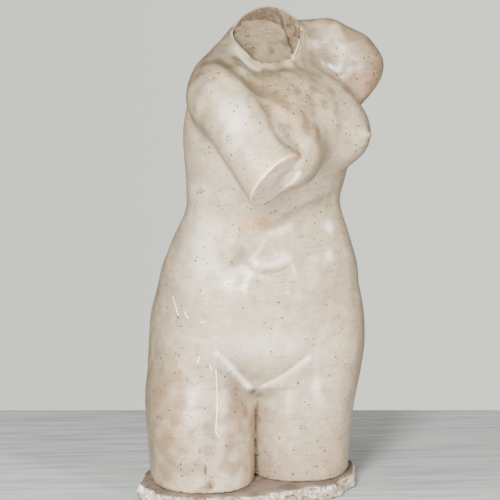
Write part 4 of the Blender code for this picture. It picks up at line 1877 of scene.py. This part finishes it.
# Two milky pale patches, on the belly's right side and above the groins, then painted highlights on
# the left hip, the right arm and the left thigh
VEILS_AND_HIGHLIGHTS = (
    TintPatch((-85, -105, 405), 42, (1, 1, 1), 0.40, (0.6, 1, 1.7)),
    TintPatch((0, -122, 246), 60, (1, 1, 1), 0.30, (1.6, 1, 0.45)),
    TintPatch((125, -68, 429), 9, (1, 1, 1), 0.8, (1, 1, 1.6)),
    TintPatch((123, -82, 382), 9, (1, 1, 1), 0.6),
    TintPatch((-41, -232, 637), 26, (1, 1, 1), 0.5, (0.8, 1, 1.5)),
    TintPatch((100, -108, 172), 40, (1, 1, 1), 0.45, (0.16, 1.5, 1)),
    TintPatch((55, -110, 148), 22, (1, 1, 1), 0.40, (0.24, 2, 1)),
)
SPECKED = (
    ((45, -190, 640), 95),
    ((20, -150, 690), 70),
    ((160, -10, 700), 55),
    ((-90, -110, 420), 40),
    ((-80, -140, 60), 70),
    ((-90, -160, 690), 40),
)


def scratches(*lines: tuple[tuple[Point, ...], float]) -> tuple[Scratch, ...]:
    """Breaks lines into the straight legs that the material draws.

    Args:
        lines: each line as its points and its half width, in parts.

    Returns:
        A scratch for each leg.
    """
    return tuple(
        Scratch(start, end, width)
        for points, width in lines
        for start, end in zip(points, points[1:])
    )


SCRATCHES = scratches(
    (((-66, -117, 203), (-64, -122, 152), (-68, -133, 101), (-62, -133, 93)), 1.0),
    (((-93, -112, 224), (-96, -112, 212)), 1.1),
    (((-133, -74, 316), (-125, -86, 287)), 1.0),
    (((-116, -93, 295), (-110, -99, 285)), 1.2),
    (((-91, -110, 280), (-82, -115, 283)), 1.1),
    (((-76, -116, 209), (-73, -116, 202)), 1.1),
)
# The first line is a painted shadow along the crease between the right arm and breast; the rest are
# a crack on the left hip and rust marks on the right thigh
CRACKS_AND_CREASE_SHADOW = scratches(
    (((-2, -199, 661), (12, -209, 645), (20, -242, 620), (33, -253, 604), (45, -263, 590)), 1.3),
    (((158, -60, 263), (139, -97, 256), (112, -105, 248)), 0.8),
    (((-86, -142, 47), (-86, -142, 34)), 2.0),
    (((-79, -144, 16), (-76, -144, 9)), 1.7),
    (((-88, -142, 93), (-87, -142, 88)), 1.5),
    (((-102, -142, 110), (-98, -142, 107)), 1.6),
)


@dataclass(frozen=True)
class SoftBox:
    """A soft light by its degrees round from the front and up, its metres and its watts."""

    name: str
    azimuth: float
    elevation: float
    width: float
    height: float
    power: float

    def hang(self, target: Point, distance: float) -> None:
        """Hangs the light.

        Args:
            target: what it looks at, in metres.
            distance: how far from there it hangs.
        """
        lamp = bpy.data.lights.new(self.name, "AREA")
        lamp.shape = "RECTANGLE"
        lamp.size = self.width
        lamp.size_y = self.height
        lamp.energy = self.power
        seat = bpy.data.objects.new(self.name, lamp)
        bpy.context.scene.collection.objects.link(seat)
        back = heading(self.azimuth, self.elevation)
        seat.location = Vector(target) + back * distance
        seat.rotation_euler = back.to_track_quat("Z", "Y").to_euler()


@dataclass
class Studio:
    """The floor, the pale wall behind it, the soft lights and the camera."""

    azimuth: float = -5.0
    elevation: float = 12.0
    distance: float = 6.0
    target: Point = (0.0, 0.0, 0.403)
    lens: float = 261.8
    floor_size: tuple[float, float] = (9.0, 7.0)
    floor_back: float = 0.503
    wall_left: Colour = linear(196, 200, 190)
    wall_right: Colour = linear(208, 209, 199)
    wall_span: tuple[float, float] = (0.017, 0.153)
    wall_strength: float = 1.85
    room: Colour = linear(236, 236, 232)
    room_strength: float = 0.36
    light_distance: float = 2.6
    lights: tuple[SoftBox, ...] = (
        SoftBox("key", -15.0, 22.0, 0.50, 1.2, 200.0),
        SoftBox("right", 32.0, 14.0, 0.32, 1.2, 85.0),
        SoftBox("left", -64.0, 36.0, 1.3, 1.3, 45.0),
    )
    floor_finish: FloorFinish = field(default_factory=FloorFinish)

    def make_camera(self) -> None:
        """Places the camera at the photograph's angle."""
        camera = bpy.data.cameras.new("camera")
        camera.lens = self.lens
        camera.sensor_width = 36
        camera.clip_end = 100
        seat = bpy.data.objects.new("camera", camera)
        bpy.context.scene.collection.objects.link(seat)
        back = heading(self.azimuth, self.elevation)
        seat.location = Vector(self.target) + back * self.distance
        seat.rotation_euler = back.to_track_quat("Z", "Y").to_euler()
        bpy.context.scene.camera = seat

    def make_floor(self) -> None:
        """Lays the floor, which ends in a straight line behind the figure."""
        deselect_all()
        bpy.ops.mesh.primitive_plane_add(size=1)
        floor = bpy.context.active_object
        floor.name = "floor"
        width, depth = self.floor_size
        turn = math.radians(self.azimuth)
        for vertex in floor.data.vertices:
            x = vertex.co.x * width
            y = vertex.co.y * depth + self.floor_back - depth / 2
            vertex.co.x = x * math.cos(turn) - y * math.sin(turn)
            vertex.co.y = x * math.sin(turn) + y * math.cos(turn)
        floor.data.materials.append(self.floor_finish.build())

    def make_world(self) -> None:
        """Fills the room with soft light and shows a pale wall behind the floor."""
        world = bpy.data.worlds.new("pale wall")
        world.use_nodes = True
        bpy.context.scene.world = world
        board = Board(world.node_tree)
        output = world.node_tree.nodes["World Output"]
        ambient = world.node_tree.nodes["Background"]
        ambient.inputs["Color"].default_value = (*self.room, 1.0)
        ambient.inputs["Strength"].default_value = self.room_strength
        wall = board.add("ShaderNodeBackground")
        axes = board.add("ShaderNodeSeparateXYZ")
        board.feed(axes.inputs[0], board.add("ShaderNodeTexCoord").outputs["Generated"])
        rightward = board.ramp(axes.outputs["X"], *self.wall_span)
        board.feed(wall.inputs["Color"], board.mix(rightward, self.wall_left, self.wall_right))
        wall.inputs["Strength"].default_value = self.wall_strength
        mixer = board.add("ShaderNodeMixShader")
        seen = board.add("ShaderNodeLightPath").outputs["Is Camera Ray"]
        board.feed(mixer.inputs[0], seen)
        board.feed(mixer.inputs[1], ambient.outputs[0])
        board.feed(mixer.inputs[2], wall.outputs[0])
        board.feed(output.inputs["Surface"], mixer.outputs[0])

    def make(self) -> None:
        """Sets the whole studio up."""
        self.make_world()
        self.make_floor()
        for light in self.lights:
            light.hang(self.target, self.light_distance)
        self.make_camera()


def main() -> None:
    """Builds the pieces in order."""
    logging.basicConfig(level=logging.INFO, format="%(message)s")
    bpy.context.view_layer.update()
    for build_effect in (make_mottle, make_pits, make_scratch):
        build_effect()
    figure = Figure("torso")
    torso = TorsoPiece(
        figure=figure, form=Form(), highlight_lines=HIGHLIGHT_LINES, shade_lines=SHADE_LINES,
        stains_and_shade=STAINS_AND_SHADE + SHADES, veils_and_highlights=VEILS_AND_HIGHLIGHTS,
        finish=PlasterFinish(scratches=SCRATCHES, cracks=CRACKS_AND_CREASE_SHADOW),
    ).make()
    plinth = PlinthPiece().make()
    for piece, node, slot in (
        (torso, "torso", "plaster"),
        (plinth, "plinth", "plinth_plaster"),
    ):
        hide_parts(node)
        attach(piece, "root")
        LOG.info("%s: %d faces", piece.name, len(piece.data.polygons))
    Studio().make()


if __name__ == "__main__":
    main()
